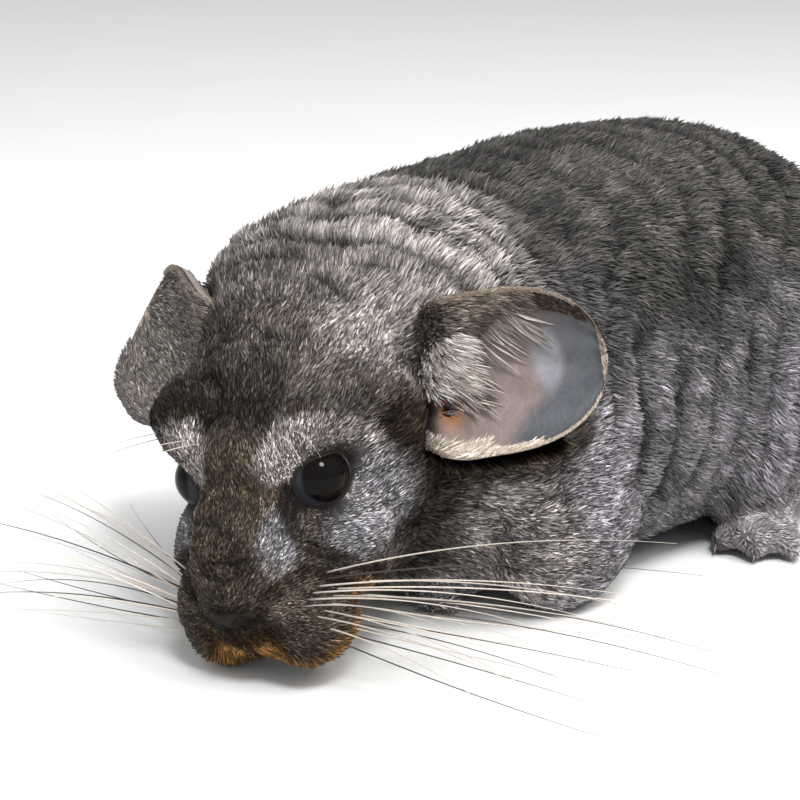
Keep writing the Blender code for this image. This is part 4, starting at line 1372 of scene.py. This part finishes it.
# %% [markdown]
# Hair on the ears is of several kinds: a short nap on the back, brown fur on the furry fold,
# pale fluff at the root, sparse long pale hairs that cross the pink middle, a cream fringe on
# the lower rim with dark hair behind it, and a tiny pale nap all round the edge. Each kind is a
# band of the ear's grid with its own sizes. A band on the fold counts its share of the fold's
# breadth. Each row gives: how many, on the fold or not, from the lower to the upper rim, from
# root to tip, inner face or not, the lie, length, width, lift, colour and contrast.

# %% Hair on the ears
def ear_band(side, rng, count, on_fold, tops, vs, inner, way, length, width, lift, colour,
             contrast):
    """Tufts in one band of an ear. way is the lie: share along the ear, share towards the top."""
    top, v = rng.uniform(*tops, count), rng.uniform(*vs, count)
    if on_fold:
        top = fold_edge(v) + top * (0.98 - fold_edge(v))
    step = 0.01
    here, before, after, below, above = (ear_surface(side, row, place, inner) for row, place in (
        (top, v), (top, v - step), (top, np.minimum(v + step, 1)), (top - step, v),
        (top + step, v)))
    ahead, up = unit(after - before), unit(above - below)
    normal = unit(np.cross(ahead, up))
    facing = ear_frame(side)[2] @ HEAD_AXES * (1 if inner else -1)
    normal *= np.sign(normal @ facing)[:, None]
    lie = unit(ahead * way[0] + up * way[1] + rng.normal(0, STRAY, (count, 3)))
    lie = unit(lie - normal * np.sum(lie * normal, axis=1, keepdims=True))
    sizes = rng.uniform(0.65, 1.2, count)
    shape, normals = tufts(here, normal, lie, length * sizes, width * rng.uniform(0.8, 1.2, count),
                           lift + rng.normal(0, 5, count), np.full(count, 16.0))
    shade = np.exp(rng.normal(0, contrast, count))
    colours = np.repeat((np.array(colour) * shade[:, None])[:, None, :], 4, axis=1)
    colours[:, 0] *= 0.5
    colours[:, 3] *= 1.2
    return shape, normals, np.clip(colours, 0.003, 0.95), ear_map(side, top, v, inner)


PALE_RIM, EAR_BROWN, BELOW_EAR = (0.27, 0.22, 0.18), (0.105, 0.088, 0.075), (0.060, 0.044, 0.030)
CREAM, DARK_EDGE, STRAND = (0.34, 0.29, 0.245), (0.036, 0.028, 0.021), (0.42, 0.37, 0.33)
FLUFF, ROOT_HAIR = (0.62, 0.54, 0.49), (0.11, 0.096, 0.085)
BOTH_BANDS = (
    (3600, False, (-0.98, 0.98), (0.10, 0.97), False, (1, 0.1), 2.2, 0.32, 16, EAR_BACK, 0.45),
    (4800, True, (-0.02, 0.98), (0.18, 0.70), True, (1, -0.35), 2.4, 0.20, 20, EAR_BROWN, 0.6),
    (900, True, (0.45, 0.98), (0.16, 0.60), True, (1, 0.1), 2.2, 0.22, 24, PALE_RIM, 0.4),
    (1100, True, (0.0, 0.98), (0.50, 0.92), True, (1, -0.2), 1.6, 0.14, 14, DARK_EDGE, 0.6),
    (3200, False, (0.955, 1.0), (0.16, 0.90), True, (0.9, 0.4), 0.9, 0.16, 50, PALE_RIM, 0.35),
    (2200, False, (-0.95, 0.95), (0.975, 0.998), True, (1, 0), 0.5, 0.10, 50, PALE_RIM, 0.35),
)
LEFT_BANDS = (
    (1700, False, (-0.1, 0.60), (0.17, 0.38), True, (1.0, -0.6), 5.2, 0.11, 24, FLUFF, 0.4),
    (2600, False, (-0.22, 0.98), (0.04, 0.25), True, (1.0, -0.15), 3.6, 0.18, 34, ROOT_HAIR, 0.6),
    (900, False, (0.3, 0.98), (0.18, 0.30), True, (1.0, -0.2), 4.4, 0.22, 28, ROOT_HAIR, 0.5),
    (130, True, (-0.1, 0.12), (0.26, 0.62), True, (1.0, -0.95), 10.5, 0.085, 27, STRAND, 0.3),
    (90, False, (-0.35, 0.10), (0.24, 0.45), True, (1.0, -0.7), 6.0, 0.08, 24, STRAND, 0.3),
    (1500, False, (-0.995, -0.86), (0.14, 0.42), True, (0.9, 0.45), 2.8, 0.12, 26, CREAM, 0.4),
    (900, False, (-0.995, -0.93), (0.38, 0.66), True, (0.9, 0.2), 1.5, 0.10, 24, CREAM, 0.4),
    (1900, False, (-0.99, -0.86), (0.14, 0.72), False, (0.6, -0.8), 4.6, 0.20, 20, BELOW_EAR, 0.8),
    (1600, False, (-1.0, -0.965), (0.50, 0.95), True, (0.9, -0.4), 0.7, 0.10, 50, PALE_RIM, 0.35),
)
RIGHT_BANDS = (
    (4800, False, (-0.95, 0.95), (0.12, 0.96), True, (1, 0.1), 1.9, 0.24, 20, RIGHT_CUP, 0.6),
    (1200, False, (-1.0, -0.93), (0.12, 0.95), True, (0.9, -0.5), 1.4, 0.20, 40, EAR_BACK, 0.5),
)


def ear_coat(name, side):
    rng = np.random.default_rng(60 + side)
    bands = BOTH_BANDS + (LEFT_BANDS if side > 0 else RIGHT_BANDS)
    parts = [ear_band(side, rng, *band) for band in bands]
    return tuft_mesh(name, *(np.concatenate(part) for part in zip(*parts)))


for side, label in SIDES:
    show("ear_coat_" + label, ear_coat("ear_coat_" + label, side), COAT_FINISH)
print("bands of ear hair:", len(BOTH_BANDS + LEFT_BANDS + RIGHT_BANDS))

# %% [markdown]
# ## Whiskers
# Whiskers are long tapered hairs rooted in rows on the pads beside the nose, with a few short
# ones over the eye. Most are pale and some are dark. Each is a thin tube that droops a little.

# %% Whiskers
def tube(points, radii, sides=6):
    """Points and faces of a tapered closed tube."""
    along = unit(np.gradient(points, axis=0))
    across = unit(np.cross(along, (0, 0, 1.0)))
    rise = np.cross(across, along)
    turns = turns_of(sides)
    ring = across[:, None] * np.cos(turns)[:, None] + rise[:, None] * np.sin(turns)[:, None]
    body = (points[:, None] + ring * radii[:, None, None]).reshape(-1, 3)
    faces = np.array(band_faces(len(points), sides) + cap_faces(len(points), sides))
    return body, faces[:, ::-1]


def joined(tubes):
    """Points and faces of many tubes as one."""
    bodies, shells = zip(*tubes)
    starts = np.cumsum([0] + [len(body) for body in bodies[:-1]])
    return np.concatenate(bodies), np.concatenate([shell + k for shell, k in zip(shells, starts)])


WHISKERS_A_SIDE, BROW_WHISKERS = 24, 4
WHISKER_RADIUS, BROW_RADIUS = 0.17, 0.11
PALE_WHISKER, DARK_WHISKER, DARK_WHISKERS = (0.60, 0.53, 0.46), (0.05, 0.04, 0.035), 0.3
FLOOR_CLEARANCE = 2.0


def arc(start, out, length, droop):
    """A line of points that leaves along out and sinks by droop at its end, clear of the floor."""
    droop = min(droop, start[2] + out[2] * length - FLOOR_CLEARANCE)
    t = np.linspace(0, 1, 18)[:, None]
    return start - out + out * length * t - np.array((0, 0, droop)) * t * t


def whisker_line(side, index, rng):
    share = (index + 0.5) / WHISKERS_A_SIDE
    row = index % 4
    start = off_head(np.array((21.5 - 8.5 * share, side * (14 - 0.7 * row), -9.5 - 3.0 * row)))
    sweep = math.radians(-16 + 42 * share + 4 * row + rng.uniform(-5, 5))
    length = (54 + 44 * share) * rng.uniform(0.7, 1.05)
    lift = math.radians(17 - 9 * row + rng.uniform(-4, 4))
    left = HEAD_AXES[1] * side
    turned_to = math.atan2(left[1], left[0]) + side * sweep
    out = np.array((math.cos(turned_to) * math.cos(lift), math.sin(turned_to) * math.cos(lift),
                    math.sin(lift)))
    return arc(start, out, length, rng.uniform(0.14, 0.26) * length)


def brow_line(side, index, rng):
    start = off_head(np.array((2 - 1.5 * index, side * (8.5 + 1.2 * index), 10.5 - 0.3 * index)))
    out = unit(np.array((0.6, side * (0.7 + 0.15 * index), 0.45 + 0.1 * index))) @ HEAD_AXES
    length = 20 * rng.uniform(0.8, 1.1)
    return arc(start, out, length, 0.25 * length)


def whisker_mesh(name, side):
    rng = np.random.default_rng(80 + side)
    lines = [(whisker_line(side, k, rng), WHISKER_RADIUS) for k in range(WHISKERS_A_SIDE)]
    lines += [(brow_line(side, k, rng), BROW_RADIUS) for k in range(BROW_WHISKERS)]
    tubes, colours = [], []
    for line, thick in lines:
        t = np.linspace(0, 1, len(line))
        tubes.append(tube(line, thick * (1 - 0.85 * t) * rng.uniform(0.75, 1.1)))
        dark = rng.random() < DARK_WHISKERS
        shade = np.array(DARK_WHISKER) if dark else np.array(PALE_WHISKER) * rng.uniform(0.6, 1.1)
        along = np.repeat(t, 6)[:, None]
        colours.append(shade * (0.55 + 0.45 * np.minimum(1, along * 6)))
    points, faces = joined(tubes)
    flat = np.stack([np.linspace(0.1, 0.9, len(points)), np.full(len(points), 0.5)], axis=1)
    return array_mesh(name, points, faces, flat, np.concatenate(colours))


WHISKER_FINISH = hair_finish("whisker_hair", 0.38)
for side, label in SIDES:
    show("whiskers_" + label, whisker_mesh("whiskers_" + label, side), WHISKER_FINISH)
print("whiskers a side:", WHISKERS_A_SIDE)

# %% [markdown]
# ## Tail
# The tail carries much longer, stiffer hair than the body, dark above and greyer at the sides.
# Each hair lock here has two bent sections, so it can arch out of the core and back.

# %% Tail locks
def lock_triangles():
    """Faces of a lock: three at the root, six between its two rings, three at the tip."""
    faces = []
    for k in range(3):
        near, near_next, far, far_next = 1 + k, 1 + (k + 1) % 3, 4 + k, 4 + (k + 1) % 3
        faces += [(0, near, near_next), (near, far, far_next), (near, far_next, near_next),
                  (far, 7, far_next)]
    return np.array(faces)


LOCK_TRIANGLES = lock_triangles()
LOCK_OFFSETS = np.array(((0, -1), (-1, -0.4), (0, -0.4), (1, -0.4), (-1, 0.4), (0, 0.4), (1, 0.4),
                         (0, 1))) * MAP_PATCH


def long_locks(roots, outward, along, length, width, reach):
    """Locks of twelve triangles: root, two rings of three corners, tip."""
    across = unit(np.cross(outward, along))
    rows = []
    for share, wide in ((0.0, 0), (0.33, 1.0), (0.7, 0.75), (1.0, 0)):
        raised = reach * np.sin(share * math.pi / 2) ** 0.9
        centre = roots + along * (length * share)[:, None] + outward * raised[:, None]
        if wide == 0:
            rows.append(centre[:, None])
        else:
            half = (width * wide / 2)[:, None]
            rows.append(np.stack([centre - across * half, centre + outward * half * 0.8,
                                  centre + across * half], axis=1))
    return np.concatenate(rows, axis=1)


TAIL_LOCKS = 9000


def tail_coat(name, count):
    rng = np.random.default_rng(90)
    line, along, across, rise, radii = tail_stations()
    at = 2.5 + (len(line) - 4.5) * rng.random(count) ** 0.95
    low = at.astype(int)
    part = (at - low)[:, None]
    centre, way, side_way, up_way, radius = (
        rows[low] * (1 - part) + rows[low + 1] * part
        for rows in (line, along, across, rise, radii[:, None]))
    radius = radius[:, 0]
    turn = rng.uniform(0, math.tau, count)
    outward = unit(side_way * np.cos(turn)[:, None] + up_way * np.sin(turn)[:, None])
    core = radius * TAIL_CORE * 0.8
    length = rng.uniform(16, 30, count) * (0.75 + 0.25 * ramp(at, 4, 14))
    reach = (radius - core) * rng.uniform(0.35, 1.05, count)
    heading = unit(way + 0.132 * rng.normal(0, 1, (count, 3)))
    shape = long_locks(centre + outward * core[:, None], outward, heading, length,
                       rng.uniform(0.45, 0.85, count), reach)
    shape[:, :, 2] = np.maximum(shape[:, :, 2], FLOOR_LEVEL)
    high = 0.5 + 0.5 * np.sin(turn)
    base = np.outer(1 - 0.35 * high, TAIL_GREY) + np.outer(0.45 * (1 - high), FLANK_GREY)
    base = base * np.exp(rng.normal(0, 0.35, count))[:, None]
    colours = np.repeat(base[:, None], 8, axis=1)
    colours[:, 0] *= 0.4
    colours[:, 7] *= 1.3
    start = np.arange(count)[:, None, None] * 8
    flat = 0.02 + 0.96 * np.stack([at / len(line), turn / math.tau], axis=1)
    return array_mesh(name, shape.reshape(-1, 3), (LOCK_TRIANGLES + start).reshape(-1, 3),
                      (flat[:, None] + LOCK_OFFSETS).reshape(-1, 2),
                      np.clip(colours, 0.003, 0.95).reshape(-1, 3))


show("tail_coat", tail_coat("tail_coat", TAIL_LOCKS), COAT_FINISH)
print("triangles in a tail lock:", len(LOCK_TRIANGLES))

# %% [markdown]
# ## Claws
# The toes end in small blunt claws, almost hidden in stiff hair. Each is a short bent cone.

# %% Claws
def claw_mesh(name):
    tubes = []
    t = np.linspace(0, 1, 6)
    for side, _ in SIDES:
        for spot, toes, spread, height, size in (
                (hind_place(side), HIND_TOES, HIND_SPREAD, HIND_TIP, 1.0),
                (front_place(side), FRONT_TOES, FRONT_SPREAD, FRONT_TIP, 0.7)):
            for across, reach in toes:
                local = np.stack([np.full(6, across * spread), reach + 2.4 - 2.3 * size * t,
                                  height - 0.2 - 1.0 * size * t * t], axis=1)
                line = np.array([spot @ Vector(p) for p in local])
                line[:, 2] = np.maximum(line[:, 2], 0.6 * size)
                tubes.append(tube(line, 0.45 * size * (1 - 0.8 * t), 8))
    points, faces = joined(tubes)
    flat = np.stack([np.linspace(0.02, 0.98, len(points)), np.full(len(points), 0.5)], axis=1)
    return array_mesh(name, points, faces, flat)


claw_finish = Recipe("claw_horn", Roughness=0.4)
claw_finish.feed("Base Color", claw_finish.mix(
    claw_finish.cloud(0.7), (0.10, 0.085, 0.075, 1), (0.20, 0.17, 0.15, 1)))
show("claws", claw_mesh("claws"), claw_finish.material)
print("claws:", 2 * (len(HIND_TOES) + len(FRONT_TOES)))

# %% [markdown]
# ## Floor and light
# A pale floor and soft studio light: a large lamp high on the right, where the fur is brightest,
# one from above, a weak one on the left and a bright even surround. These three lamps don't
# show in reflections. A fourth, small and round, makes the one highlight in the eye.

# %% Floor
FLOOR_HALF = 6
floor_mesh = bpy.data.meshes.new("floor")
floor_bm = bmesh.new()
bmesh.ops.create_grid(floor_bm, x_segments=1, y_segments=1, size=FLOOR_HALF)
floor_bm.to_mesh(floor_mesh)
floor_bm.free()
floor = bpy.data.objects.new("floor", floor_mesh)
bpy.context.scene.collection.objects.link(floor)
floor_finish = Recipe("pale_floor", Roughness=0.8)
floor_finish.feed("Base Color", floor_finish.mix(
    floor_finish.cloud(60), (0.61, 0.605, 0.595, 1), (0.63, 0.63, 0.62, 1)))
floor_mesh.materials.append(floor_finish.material)
print("floor is", 2 * FLOOR_HALF, "m wide")

# %% Light
def lamp(name, turn, height, distance, size, power, colour):
    """A square lamp that faces the animal's neck from a turn and height in degrees."""
    light = bpy.data.lights.new(name, "AREA")
    light.shape, light.size, light.energy, light.color = "SQUARE", size, power, colour
    holder = bpy.data.objects.new(name, light)
    a, e = math.radians(turn), math.radians(height)
    way = Vector((math.sin(a) * math.cos(e), -math.cos(a) * math.cos(e), math.sin(e)))
    target = Vector(in_frame(HEAD_ORIGIN + np.array((0, 40, 10))))
    holder.location = target + way * distance
    holder.rotation_euler = way.to_track_quat("Z", "Y").to_euler()
    bpy.context.scene.collection.objects.link(holder)
    return holder


for holder in (lamp("key_lamp", 108, 52, 1.1, 0.6, 10, (1.0, 0.98, 0.95)),
               lamp("top_lamp", 150, 72, 1.2, 0.8, 4, (0.98, 0.98, 1.0)),
               lamp("fill_lamp", -10, 30, 1.3, 0.9, 2, (0.95, 0.97, 1.0))):
    holder.visible_glossy = False
catch = lamp("catch_lamp", 56, 56, 1.0, 0.27, 10.0, (0.96, 0.98, 1.0))
catch.data.shape = "DISK"
surround = bpy.data.worlds.new("surround")
surround.use_nodes = True
glow = surround.node_tree.nodes["Background"]
glow.inputs["Color"].default_value = (0.95, 0.96, 0.97, 1)
glow.inputs["Strength"].default_value = 0.88
bpy.context.scene.view_settings.view_transform = "Standard"
bpy.context.scene.world = surround
print("lamps:", len(bpy.data.lights))
